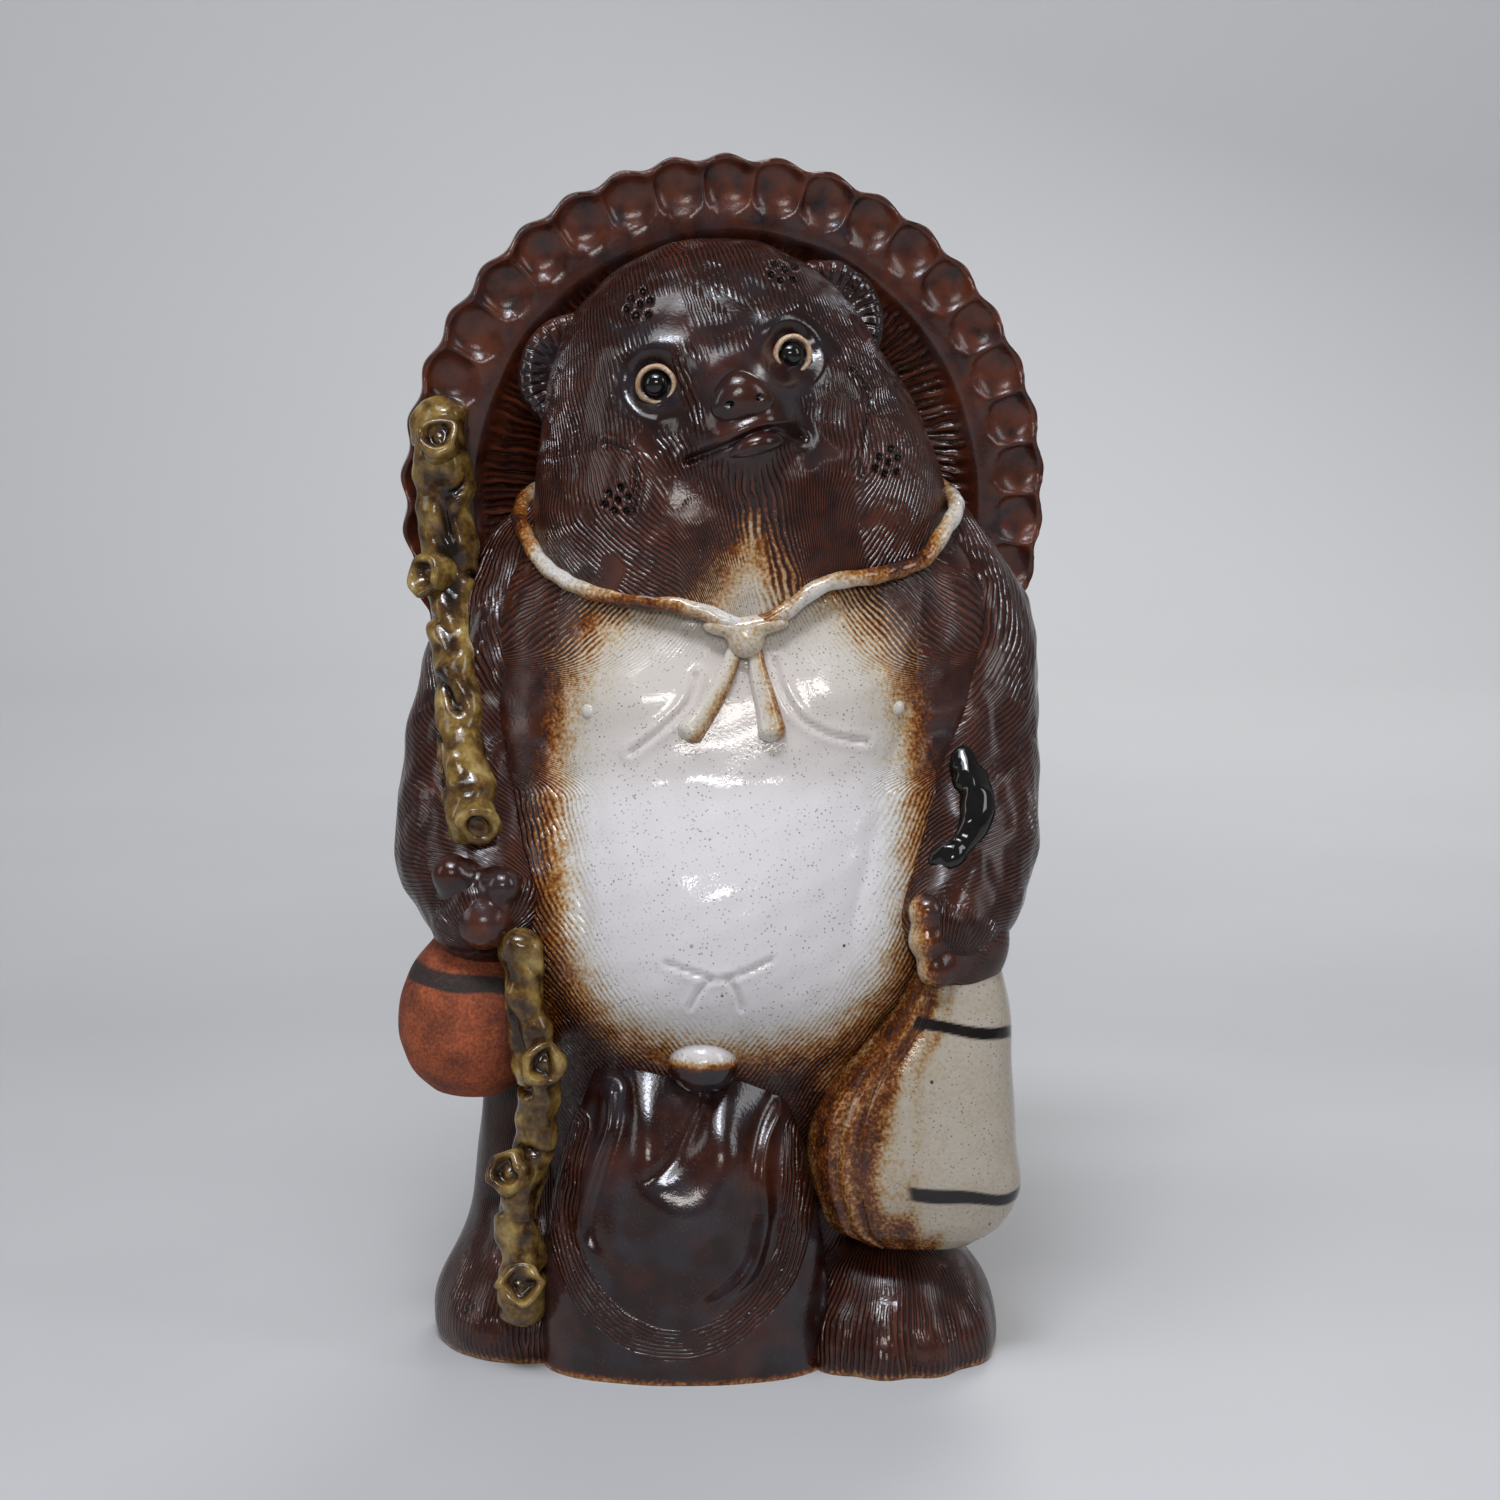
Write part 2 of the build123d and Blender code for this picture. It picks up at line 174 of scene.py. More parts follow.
def castSkin(field, centre, ways, reach, steps=44):
    # along each way from the centre, the outermost point where the field changes from outside to inside
    centre = np.asarray(centre, float)
    radius = np.full(ways.shape[:-1], float(reach))
    found = np.zeros(radius.shape, bool)
    for step in range(steps):
        trial = reach * (1 - (step + 1) / steps)
        inside = field(centre + trial * ways) < 0
        radius = np.where(~found & ~inside, trial, radius)
        found |= inside
    low, high = radius - reach / steps, radius
    for halving in range(9):
        middle = (low + high) / 2
        inside = field(centre + middle[..., None] * ways) < 0
        low, high = np.where(inside, middle, low), np.where(inside, high, middle)
    return centre + low[..., None] * ways


# the one way that a grid of points becomes a piece

noWhite = -60.0  # millimetres outside the white glaze, far enough to be all brown
# pool darkens towards near black: darker glaze, brushed marks, and painted shade in creases, holes, cuts and
# grooves
finishMarks = {"whiteEdge": noWhite, "comb": 0.0, "fur": 0.0, "pool": 0.0, "rust": 0.0}  # read by the glaze


def clayPiece(name, grid, material, slot, nodes=(), ringRows=False, **marks):
    # rows x columns of points: columns close round, and the end rows close to a point or to each other
    rows, cols = grid.shape[:2]
    index = np.arange(rows * cols).reshape(rows, cols)
    beside = np.roll(index, -1, axis=1)
    above, aboveBeside = np.roll(index, -1, axis=0), np.roll(beside, -1, axis=0)
    last = rows if ringRows else rows - 1
    quads = np.stack([index, beside, aboveBeside, above], axis=-1)[:last].reshape(-1, 4)
    points = grid.reshape(-1, 3)
    tris = np.zeros((0, 3), int)
    if not ringRows:
        count = rows * cols
        points = np.vstack([points, grid[0].mean(0), grid[-1].mean(0)])
        foot = np.stack([np.full(cols, count), beside[0], index[0]], axis=-1)
        crown = np.stack([np.full(cols, count + 1), index[-1], beside[-1]], axis=-1)
        tris = np.vstack([foot, crown])
    a, b, c, d = np.moveaxis(points[quads], 1, 0)
    volume = np.sum(a * (np.cross(b, c) + np.cross(c, d)))
    if volume < 0:  # turned over, so that faces point outwards
        quads, tris = quads[:, ::-1], tris[:, ::-1]
    mesh = bpy.data.meshes.new(name)
    mesh.from_pydata(points * mm, [], quads.tolist() + tris.tolist(), shade_flat=False)
    for mark, usual in finishMarks.items():
        values = np.broadcast_to(marks.get(mark, usual), (rows, cols)).astype(float)
        flat = values.ravel()
        if not ringRows:
            flat = np.concatenate([flat, [values[0].mean(), values[-1].mean()]])
        mesh.attributes.new(mark, "FLOAT", "POINT").data.foreach_set("value", flat)
    mesh.materials.append(material)
    piece = bpy.data.objects.new(name, mesh)
    bpy.context.collection.objects.link(piece)
    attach(piece, "root")
    if nodes:
        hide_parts(*nodes)
    return piece


def rollGrid(stations, rows, cols, swell=None):
    # a round profile carried along a smooth line through x, y, z, radius stations, with domed ends
    stations = np.asarray(stations, float)
    along = np.concatenate([[0], np.cumsum(np.linalg.norm(np.diff(stations[:, :3], axis=0), axis=1))])
    s = np.linspace(0, along[-1], rows)
    *line, radius = (curveThrough(s, along, stations[:, k]) for k in range(4))
    line = np.stack(line, axis=-1)
    way = np.gradient(line, axis=0)
    way /= np.linalg.norm(way, axis=1)[:, None]
    side = np.cross([0.0, 1.0, 0.0], way)
    side /= np.linalg.norm(side, axis=1)[:, None]
    front = np.cross(side, way)
    spin = spinAround(cols)
    ring = side[:, None] * np.sin(spin)[:, None] + front[:, None] * np.cos(spin)[:, None]
    radius = radius[:, None] * (1 + (swell(s[:, None], spin) if swell else 0 * spin))
    skin = line[:, None] + radius[..., None] * ring
    bend = np.linspace(0, np.pi / 2, 9)[1:-1, None, None]  # seven rows in each flattened half ball
    foot, crown = (line[end] + outward * 0.8 * radius[end].mean() * np.sin(bend) * way[end]
                   + np.cos(bend) * (skin[end] - line[end]) for end, outward in ((0, -1), (-1, 1)))
    s = np.pad(s, bend.size, "edge")[:, None]
    return np.concatenate([foot[::-1], skin, crown]), s + 0 * spin, spin + 0 * s


def turnedGrid(profile, cols, place, way=(0, 0, 1)):
    # a profile of radius and height turned about an axis that stands at place and points along way
    profile = np.asarray(profile, float)
    way = np.asarray(way, float) / np.linalg.norm(way)
    side = np.cross([0.3, 0.5, 1.0] if abs(way[2]) < 0.9 else [0.0, 1.0, 0.0], way)
    side /= np.linalg.norm(side)
    other = np.cross(way, side)
    spin = spinAround(cols)
    ring = np.cos(spin)[:, None] * side + np.sin(spin)[:, None] * other
    grid = profile[:, 0, None, None] * ring + profile[:, 1, None, None] * way
    return grid + np.asarray(place, float), spin


def lifted(grid, lift):
    # each point moved by its lift, straight out from the middle of its row
    out = grid - grid.mean(axis=1, keepdims=True)
    return grid + lift[..., None] * out / (np.linalg.norm(out, axis=-1)[..., None] + 1e-9)


print("shape tools ready")


# materials

def linearColour(code):
    # sRGB hex to the linear colour that a shader wants
    parts = np.array([int(code[i:i + 2], 16) for i in (1, 3, 5)]) / 255
    linear = np.where(parts <= 0.04045, parts / 12.92, ((parts + 0.055) / 1.055) ** 2.4)
    return (*linear.tolist(), 1.0)


def setSockets(node, values):
    # each value linked where it is another node's output, and set where it is a constant
    for key, value in values.items():
        if isinstance(value, bpy.types.NodeSocket):
            node.id_data.links.new(value, node.inputs[key])
        else:
            node.inputs[key].default_value = value


def addNode(tree, kind, *values, by=None, out=0, stops=(), **settings):
    # one node with its settings: values fill its sockets in order, by fills them by name or number,
    # stops are a ramp's colours as (place, hex), and the output asked for comes back
    made = tree.nodes.new("ShaderNode" + kind)
    for key, value in settings.items():
        setattr(made, key, value)
    setSockets(made, {**dict(enumerate(values)), **(by or {})})
    for number, (at, code) in enumerate(stops):
        stop = made.color_ramp.elements[number] if number < 2 else made.color_ramp.elements.new(at)
        stop.position, stop.color = at, linearColour(code)
    return made.outputs[out]


def newMaterial(name):
    # an empty material, addNode tied to its tree, its shader, and Object coordinates
    material = bpy.data.materials.new(name)
    material.use_nodes = True
    node = partial(addNode, material.node_tree)
    return material, node, material.node_tree.nodes["Principled BSDF"], node("TexCoord", out="Object")


times, timesPlus, minus = ({"operation": name} for name in ("MULTIPLY", "MULTIPLY_ADD", "SUBTRACT"))
layered = {"data_type": "RGBA", "out": 2}  # a Mix of colours: socket 0 is how much, 6 what is under, 7 over
glazeLook = {
    "brownThick": "#180807", "brownDark": "#2a100b", "brownThin": "#5a2a17", "slateAndSheen": "#2b272c",
    "cream": "#b3a283", "speck": "#4a3020", "darkPoolAndShade": "#120a09",
    "edgeStops": [(0.0, "#35190f"), (0.22, "#472310"), (0.32, "#6d3a13"), (0.42, "#936330"),
                  (0.52, "#a98d68"), (0.64, "#bdb5aa"), (0.80, "#c8c5c2"), (1.0, "#cfcbcc")],
    "edgeReach": (-7.0, 17.0),  # millimetres either side of the glaze line
    "noises": [(24, 3.0), (15, 1.0), (7, 4.0), (1.2, 2.0)],  # cloud, patch, blotch, grain: size, detail
    "speckSpacing": 1.5, "spotSpacing": 11.0, "combDepth": 0.7,
}


def combedGlaze(look):
    # stoneware under poured glaze: iron brown, breaking red where thin, and a milky white with iron specks.
    # Glossy, a little pitted, with the comb's scratches still showing through.
    material, node, shader, place = newMaterial("combedStonewareGlaze")
    mark = {name: node("Attribute", out="Fac", attribute_name=name) for name in finishMarks}
    cloud, patch, blotch, grain = (
        node("TexNoise", by={"Vector": place, "Scale": 1 / (size * mm), "Detail": detail})
        for size, detail in look["noises"])
    # comb scratches: a wave on the comb mark, bent by the clouds, shaken by the blotches, faded in patches
    bent = node("Math", cloud, 3.0, node("Math", blotch, 0.6, mark["comb"], **timesPlus), **timesPlus)
    wave = node("Math", node("Math", bent, turn, **times), operation="SINE")
    ridge = node("MapRange", wave, -0.75, 0.55)
    furry = node("Math", mark["fur"], node("MapRange", patch, 0.31, 0.45), **times)
    scratch = node("Math", ridge, furry, **times)
    # the line between the two glazes, ragged, and combed where there is a comb mark
    edge = mark["whiteEdge"]
    for ragged, reach in ((blotch, 9.0), (grain, 13.0), (ridge, node("Math", furry, 7.0, **times))):
        edge = node("Math", node("Math", ragged, 0.5, **minus), reach, edge, **timesPlus)
    edge = node("MapRange", edge, *look["edgeReach"])
    isWhite = node("MapRange", edge, 0.10, 0.26)
    # iron brown: thick and dark in hollows, a grey slate tone where it lies smooth that is partly painted
    # bluish sheen, thin and red on ridges
    thin = node("Math", node("MapRange", cloud, 0.50, 0.72), 0.45, **times)
    thin = node("Math", scratch, node("Math", blotch, 0.7, **times), thin, **timesPlus)
    thin = node("Math", mark["rust"], node("MapRange", blotch, 0.28, 0.62), thin, **timesPlus)
    bald = node("Math", 0.75, node("Math", furry, 0.75, **times), **minus)
    smooth = node("Math", node("MapRange", patch, 0.46, 0.64), bald, **times)
    groove = node("Math", 0.85, node("Math", ridge, 0.85, **times), **minus)
    groove = node("Math", furry, groove, **times)
    brown = linearColour(look["brownThick"])
    for amount, over in ((blotch, "brownDark"), (smooth, "slateAndSheen"),
                         (node("MapRange", thin, 0.0, 1.0), "brownThin"), (groove, "brownThick")):
        brown = node("Mix", by={0: amount, 6: brown, 7: linearColour(look[over])}, **layered)
    # milky white, creamier where it is thin
    creamy = node("Math", mark["rust"], node("MapRange", edge, 0.35, 0.6), **times)
    white = node("ValToRGB", edge, stops=look["edgeStops"])
    white = node("Mix", by={0: creamy, 6: white, 7: linearColour(look["cream"])}, **layered)
    # iron specks that bleed through the white, and a few larger spots
    fine, large = (node("TexVoronoi", by={"Vector": place, "Scale": 1 / (look[spacing] * mm)})
                   for spacing in ("speckSpacing", "spotSpacing"))
    specks = node("Math", node("MapRange", fine, 0.27, 0.14), node("MapRange", blotch, 0.34, 0.60), **times)
    spots = node("Math", node("MapRange", large, 0.075, 0.050), node("MapRange", cloud, 0.56, 0.60), **times)
    dots = node("Math", node("Math", specks, 0.7, **times), spots, operation="MAXIMUM")
    # the pool mark mixes in a near black: darker glaze and brushed strokes, and painted shade in creases,
    # holes and grooves
    colour = brown
    for amount, over in ((isWhite, white), (dots, linearColour(look["speck"])),
                         (mark["pool"], linearColour(look["darkPoolAndShade"]))):
        colour = node("Mix", by={0: amount, 6: colour, 7: over}, **layered)
    # gloss: wet white, slightly drier brown where it was combed
    gloss = 0.11
    for amount, drier in ((furry, 0.04), (cloud, 0.12), (mark["rust"], 0.10), (isWhite, -0.10)):
        gloss = node("Math", amount, drier, gloss, **timesPlus)
    # relief: comb scratches, shallower under the white, and the skin of the glaze
    skin = node("Math", scratch, node("Math", isWhite, -0.5, 1.0, **timesPlus), **times)
    skin = node("Math", grain, 0.12, skin, **timesPlus)
    relief = node("Bump", by={"Height": skin, "Strength": 0.9, "Distance": look["combDepth"] * mm})
    setSockets(shader, {"Base Color": colour, "Roughness": gloss, "IOR": 1.5, "Normal": relief})
    return material


redLook = {"dark": "#562410", "light": "#a8532b", "rough": 0.78, "grit": 1.1, "relief": 0.4}
paleLook = {"dark": "#8a6040", "light": "#cdb497", "rough": 0.45, "grit": 0.9, "relief": 0.12}


def plainClay(name, look):
    # fired clay with no glaze: matt, gritty and uneven in tone, and darker where it is marked: a brushed band
    # on the flask, the lower side of each eye ring
    material, node, shader, place = newMaterial(name)
    grit, tone = (node("TexNoise", by={"Vector": place, "Scale": 1 / (size * mm), "Detail": detail})
                  for size, detail in ((look["grit"], 4.0), (11, 3.0)))
    bare = node("ValToRGB", node("Math", grit, tone, **times),
                stops=[(0.12, look["dark"]), (0.42, look["light"])])
    worn = node("Math", grit, -0.35, 1.12, **timesPlus)
    pool = node("Attribute", out="Fac", attribute_name="pool")
    brushed = node("Math", pool, worn, use_clamp=True, **times)
    colour = node("Mix", by={0: brushed, 6: bare, 7: linearColour("#1b1917")}, **layered)
    relief = node("Bump", by={"Height": grit, "Strength": 0.8, "Distance": look["relief"] * mm})
    setSockets(shader, {"Base Color": colour, "Roughness": look["rough"], "Normal": relief})
    return material


ashLook = {"mottle": 9.0, "fleck": 1.6, "stops": [(0.34, "#180e06"), (0.47, "#3a2510"), (0.58, "#5f4620"),
                                                  (0.70, "#836a36"), (0.88, "#ad9760")]}


def ashGlaze(look):
    # wood-ash glaze on a modelled staff: olive amber where thin, dark brown painted shade in the hollows, wet
    # gloss
    material, node, shader, place = newMaterial("amberAshGlaze")
    mottle, flecks = (node("TexNoise", by={"Vector": place, "Scale": 1 / (size * mm), "Detail": detail})
                      for size, detail in ((look["mottle"], 4.0), (look["fleck"], 2.0)))
    pool = node("Attribute", out="Fac", attribute_name="pool")
    depth = node("Math", flecks, 0.22, node("Math", pool, -0.30, mottle, **timesPlus), **timesPlus)
    relief = node("Bump", by={"Height": mottle, "Strength": 0.5, "Distance": 1.0 * mm})
    setSockets(shader, {"Base Color": node("ValToRGB", depth, stops=look["stops"]),
                        "Roughness": 0.14, "IOR": 1.5, "Normal": relief})
    return material


def blackGlaze():
    # tenmoku-like black glaze, run thick: almost a mirror, faintly brown in 4 mm drifts
    material, node, shader, place = newMaterial("runBlackGlaze")
    drift = node("TexNoise", by={"Vector": place, "Scale": 1 / (4 * mm), "Detail": 2.0})
    tone = node("ValToRGB", drift, stops=[(0.35, "#060607"), (0.75, "#15110f")])
    setSockets(shader, {"Base Color": tone, "Roughness": 0.07, "IOR": 1.55})
    return material


glaze = combedGlaze(glazeLook)
redClay = plainClay("bareTerracotta", redLook)
paleClay = plainClay("barePaleClay", paleLook)
ash = ashGlaze(ashLook)
black = blackGlaze()
print("materials ready")


# body: half ellipses in front and behind, carried up a cubic through a few levels

body = {
    "levels": [0, 34, 68, 102, 136, 170, 204, 238, 272, 298],
    "half": [85, 82, 82, 85, 87, 87, 86, 86, 80, 60],
    "front": [60, 59, 61, 72, 89, 88, 77, 66, 56, 45],
    "back": [66, 71, 75, 77, 76, 73, 66, 58, 49, 38],
    "shift": [0, 0, 0, 0, 0, 0, 3, 7, 10, 11],
    "squareness": [2, 2, 2, 2, 2, 2.05, 2.2, 2.5, 2.6, 2.4],
    "top": 294.0, "wall": 8.0, "inside": [250.0, 150.0, 60.0, 0.0],  # heights of the rows inside the wall
    "rows": 230, "cols": 420, "frontCols": 315,
    "combSpacing": 2.0,  # real strokes are 1.4 to 1.8 apart: drawn coarser, on head and limbs too, to show
    "meanRadius": 85.0, "seam": 118.0,  # the seam is measured round the skin from the middle of the front
    "swells": [(-28, 238, 22, 15, 4.5), (46, 240, 24, 15, 4.5), (3, 152, 48, 34, 2.5), (5, 207, 58, 8, -1.6)],
    "folds": [[(-28, 217), (-20, 223), (-13, 229), (-8, 235), (-6, 243)],
              [(20, 248), (22.6, 237.6), (28.6, 228.7), (38.7, 223), (51, 220)]],
    "foldsCut": (1.2, 0.9, 0.6, 2.0, 1.5),  # depth and width, then height, place and width of the rim
    "navel": [[(-16, 149.5), (-5, 146), (1.2, 144.2), (10, 146.6), (18.6, 150.5)],
              [(-1.5, 144), (-5, 140), (-8, 134)], [(4, 144.6), (7, 140), (9, 133.4)]],
    "navelCut": (1.1, 0.8, 0.35, 1.9, 1.4),
    "white": {"x": 7, "z": 187, "half": 65, "upper": 94, "lower": 77, "squareness": 2.8, "fade": 55},
    "amber": [(44, 103, 15, 13, 1.0), (-58, 128, 9, 30, 0.9)],  # runs beside the book and the staff
}
limbs = {
    "combSpacing": 2.3, "fineSpacing": 1.8, "rows": 150, "cols": 130, "melt": 22.0,
    "right": [(-56, 2, 282, 18), (-75, -6, 246, 25), (-84, -20, 208, 26), (-87, -42, 178, 24),
              (-80, -66, 160, 17)],
    "left": [(72, 2, 282, 18), (86, -6, 248, 25), (89, -20, 210, 25), (89, -40, 178, 23), (82, -62, 154, 17)],
    "drip": [(85, 213, 4.2), (86, 207, 5.6), (89, 199, 6.8), (87.5, 190, 6.4), (84, 184, 4.4), (79, 180, 5.4),
             (76, 179, 4.2)],
}


def bodyPoint(spin, z, inset=0.0):
    # point of the body's skin at an angle and a height: an oval whose corners grow squarer to the shoulders
    half, front, back, shift, power = sized(body, z, "half", "front", "back", "shift", "squareness")
    cosine, sine = np.cos(spin), np.sin(spin)
    depth = np.where(sine < 0, front, back) - inset
    radius = (np.abs(cosine / (half - inset)) ** power + np.abs(sine / depth) ** power) ** (-1 / power)
    return xyz(shift + radius * cosine, radius * sine, z)


def bodyFront(x, z):
    # y of the body's front skin at x and z, from the same oval
    half, front, shift, power = sized(body, z, "half", "front", "shift", "squareness")
    return -front * np.clip(1 - np.abs((x - shift) / half) ** power, 0.02, 1) ** (1 / power)


def bellyWhite(points):
    # millimetres inside (+) or outside (-) the poured white glaze, a squarish oval seen from the front
    pour = body["white"]
    x, y, z = np.moveaxis(points, -1, 0)
    reach = np.where(z > pour["z"], pour["upper"], pour["lower"])
    power = pour["squareness"]
    wide = np.abs((x - pour["x"]) / pour["half"]) ** power + np.abs((z - pour["z"]) / reach) ** power
    return np.where(y < 0, (1 - wide ** (1 / power)) * pour["fade"], noWhite)


def bareFoot(z):
    # the glaze is wiped back to bare clay along the standing edge: a steep fall over the first millimetres
    return 2.5 - 3.5 * np.clip(z - 0.8, 0, 18)


def bodyGap(points):
    # level distance from each point out to the body's skin
    shift = curveThrough(points[..., 2], body["levels"], body["shift"])
    across, deep = points[..., 0] - shift, points[..., 1]
    skin = bodyPoint(np.arctan2(deep, across), points[..., 2])
    return np.hypot(across, deep) - np.hypot(skin[..., 0] - shift, skin[..., 1])


def meltLift(gap, size):
    # how far a skin stands out where another is this far away, so that the two meet in a round fillet
    share = np.clip(0.5 + 0.5 * gap / size, 0, 1)
    return size * share * (1 - share)


def buildBody():
    # the oval at every height, moved out by swells, less grooves, plus the arms' fillet and a hand's wobble
    z = np.linspace(0, body["top"], body["rows"])[:, None]
    spin = denseFront(body["cols"], body["frontCols"])
    skin = bodyPoint(spin, z)
    x, depth, tall = np.moveaxis(skin, -1, 0)
    lift = hills(x, tall, body["swells"])
    for lines in ("folds", "navel"):
        for line in body[lines]:
            lift -= scored(lineDistance(x, tall, drawnLine(line)), *body[lines + "Cut"])
    gapArms = np.minimum(rollDistance(skin, limbs["right"]), rollDistance(skin, limbs["left"]))
    lift = lift * smoothStep(0, -25, depth) + meltLift(gapArms, limbs["melt"])
    lift += 0.7 * handWobble(skin, 42, 3) + 0.25 * handWobble(skin, 14, 4)
    skin = skin + (lift * smoothStep(0, 6, z))[..., None] * xyz(np.cos(spin), np.sin(spin), 0)
    inner = bodyPoint(spin, np.array(body["inside"])[:, None], body["wall"])
    edge = np.maximum(bellyWhite(skin), bareFoot(skin[..., 2]))
    amber = 11 * np.maximum.reduce([high * hill(x, tall, *run) for *run, high in body["amber"]]) - 9
    edge = np.maximum(edge, np.where(depth < 0, amber, noWhite))
    # comb strokes fan out and down from the knot, run in along the belly's sides, and fall down the back
    aside, seam = body["meanRadius"] * fromFront(spin), body["seam"]
    inward = smoothStep(250, 200, tall)
    fan = (1 - inward) * (172 * np.tanh(aside / 110) - 0.375 * aside) - inward * 0.95 * aside
    flow = (0.6 * tall + np.where(aside < seam, fan, -0.75 * aside)) / body["combSpacing"]
    fur = 0.8 * smoothStep(22, 4, edge) * smoothStep(6, -4, -edge) * smoothStep(225, 250, tall)
    low = 0.6 * smoothStep(19, 5, edge) * smoothStep(225, 205, tall)
    fur = np.maximum(fur + smoothStep(6, -4, edge), low)
    fur *= 1 - np.exp(-((aside - seam) / 4.5) ** 2)  # wiped smooth where the two halves are luted
    fur *= 1 - 4 * inward * (1 - inward) * smoothStep(seam, seam - 4, aside)  # and between two sets
    # the pool mark below is painted shade in the crease where the arms meet the body
    marks = {"whiteEdge": edge, "comb": flow, "fur": fur,
             "pool": 0.25 * smoothStep(6, 0, np.abs(gapArms)) * smoothStep(8, -8, edge),
             "rust": 0.35 * smoothStep(190, 235, tall)}  # the white is creamier on the chest
    plain = inner.shape[:2]
    marks = {key: np.concatenate([np.full(plain, finishMarks[key]), value]) for key, value in marks.items()}
    clayPiece("body", np.concatenate([inner, skin]), glaze, "white_glaze",
              ["body_front_shell", "body_back_shell"], **marks)


buildBody()
print("body done")


# head: the same kind of surface on its own axis, rolled and turned on the collar

head = {
    "place": (16.0, -12.0, 256.0), "roll": 12.0, "yaw": 9.0,
    "levels": [-12, 8, 28, 46, 60, 72, 84, 96, 110, 123, 131, 134.5],
    "half": [63, 70, 73, 72, 69, 65.5, 61, 56, 48, 35, 20, 4],
    "front": [47, 53, 55, 54, 52, 49.5, 46, 42, 35, 25, 14, 3],
    "back": [45, 51, 54, 54, 52, 51, 48, 45, 38, 27, 15, 3],
    "rows": 230, "cols": 420, "frontCols": 350, "combSpacing": 1.9,
    "eyeSpacing": 47.0, "eyeHeight": 89.5,
    "cheeksAndBrows": [(38, 48, 18, 20, 4.0), (24, 104, 15, 6, 2.5)], "chin": [(1, 53, 13, 10, 6.0)],
    "mouth": [(-20, 63), (-13, 64.5), (-5, 66.5), (2, 68), (9, 67.6), (15, 65.4), (19, 62.5)],
    "mouthCut": (2.4, 1.2, 0.6, 3.2, 1.8),
    "bare": [(-6, 110, 32, 13), (26, 92, 19, 20), (-24, 86, 15, 17), (22, 62, 13, 14)],  # thick smooth glaze
    "tufts": [(-1, 114, 6, 8), (26, 111, 5, 7), (36, 71, 8, 6), (-15, 84, 2.2, 13),
              (-27, 117, 5, 6)],  # combed
    "pricks": [(-25.3, 366.2), (23.7, 377.8), (-32.3, 301.6), (58.8, 313.3)],
    "prickSet": [(0, 0), (3.4, 1.2), (-3.2, 2.0), (1.0, 4.3), (-1.4, -3.6), (2.9, -3.4), (-4.6, -1.6)],
    "cheekLines": [[(-36.5, 320), (-28.5, 317.5), (-25.7, 310.5), (-27.6, 298)],
                   [(46.7, 344), (52.6, 335), (50.6, 322.6), (49.4, 310)]],
    "cheekCut": (1.2, 0.9, 0.5, 2.4, 1.6),
}
cord = {
    "radius": 2.9, "twist": 11.0, "tailRadius": 2.5, "knot": (10.5, 255.0), "beadSize": (3.4, 3.0, 3.4),
    "knotSize": (6.2, 4.6, 6.4), "lobes": [(-7.5, 4.5), (7.5, 5.5)], "lobeSize": (7, 3.8, 3.2),
    "jowl": (9, -12, 77, 54),  # middle x and y, half width, depth
    "xs": [-78, -69.3, -65, -57.1, -44.2, -28.7, -10.3, 2.5, 10.2, 21, 34.8, 56.8, 72.5, 82.5, 92],
    "zs": [330, 292.4, 284, 275.8, 270.3, 267.6, 266.1, 261.9, 258.3, 262.9, 272.7, 275.9, 281, 293.6, 330],
    "right": {"toHat": [(-62, 16, 301), (-67.5, 0, 298)], "bead": (-42.0, 230.0),
              "along": [-69.3, -66, -58, -45, -29, -10.3, 2.5, 9.5],
              "tail": [(7, 252), (4.5, 245), (1, 238), (-4, 230), (-8, 225)]},
    "left": {"toHat": [(72.5, 42, 306.5), (75.5, 25, 304.5), (80.5, 4, 301)], "bead": (61.0, 231.0),
             "along": [82.5, 79, 72.5, 57, 36, 21, 12.5],
             "tail": [(13.5, 252), (14.5, 245), (16, 238.5), (18, 231), (19.3, 225)]},
}


def headPlace(points):
    # from the head's own frame to the figure's: turned about its own axis, rolled, and set on the collar
    return points @ (turnAbout(1, head["roll"]) @ turnAbout(2, head["yaw"])).T + np.array(head["place"])


def eyeGap(x, h):
    # distance from the middle of the nearer eye, in the head's own frame
    return np.hypot(np.abs(x) - head["eyeSpacing"] / 2, h - head["eyeHeight"])


def headLift(x, h):
    # how far the face stands forward of the bell: snout, bridge, cheeks, brows and chin, less the sockets
    snout = (x / 18.5) ** 2 + ((h - 73.5) / 15) ** 2
    lift = 17.5 * np.exp(-snout ** 1.7) + 6.5 * np.exp(-(np.abs(x) / 12.5) ** 4 - (np.abs(h - 90) / 12) ** 4)
    lift += hills(np.abs(x), h, head["cheeksAndBrows"]) + hills(x, h, head["chin"])
    eye = eyeGap(x, h)
    return lift - 3.6 * np.exp(-(eye / 9) ** 4) + 0.6 * np.exp(-((eye - 11.8) / 3.0) ** 2)


def headFront(x, h):
    # y of the front of the face in the head's own frame: the oval less the lift
    half, front = sized(head, h, "half", "front")
    return -front * np.sqrt(np.clip(1 - (x / half) ** 2, 0.02, 1)) - headLift(x, h)


def cordHeight(x):
    # height of the chin cord where the head's skin tucks under it, straight between its stations
    return np.interp(x, cord["xs"], cord["zs"])


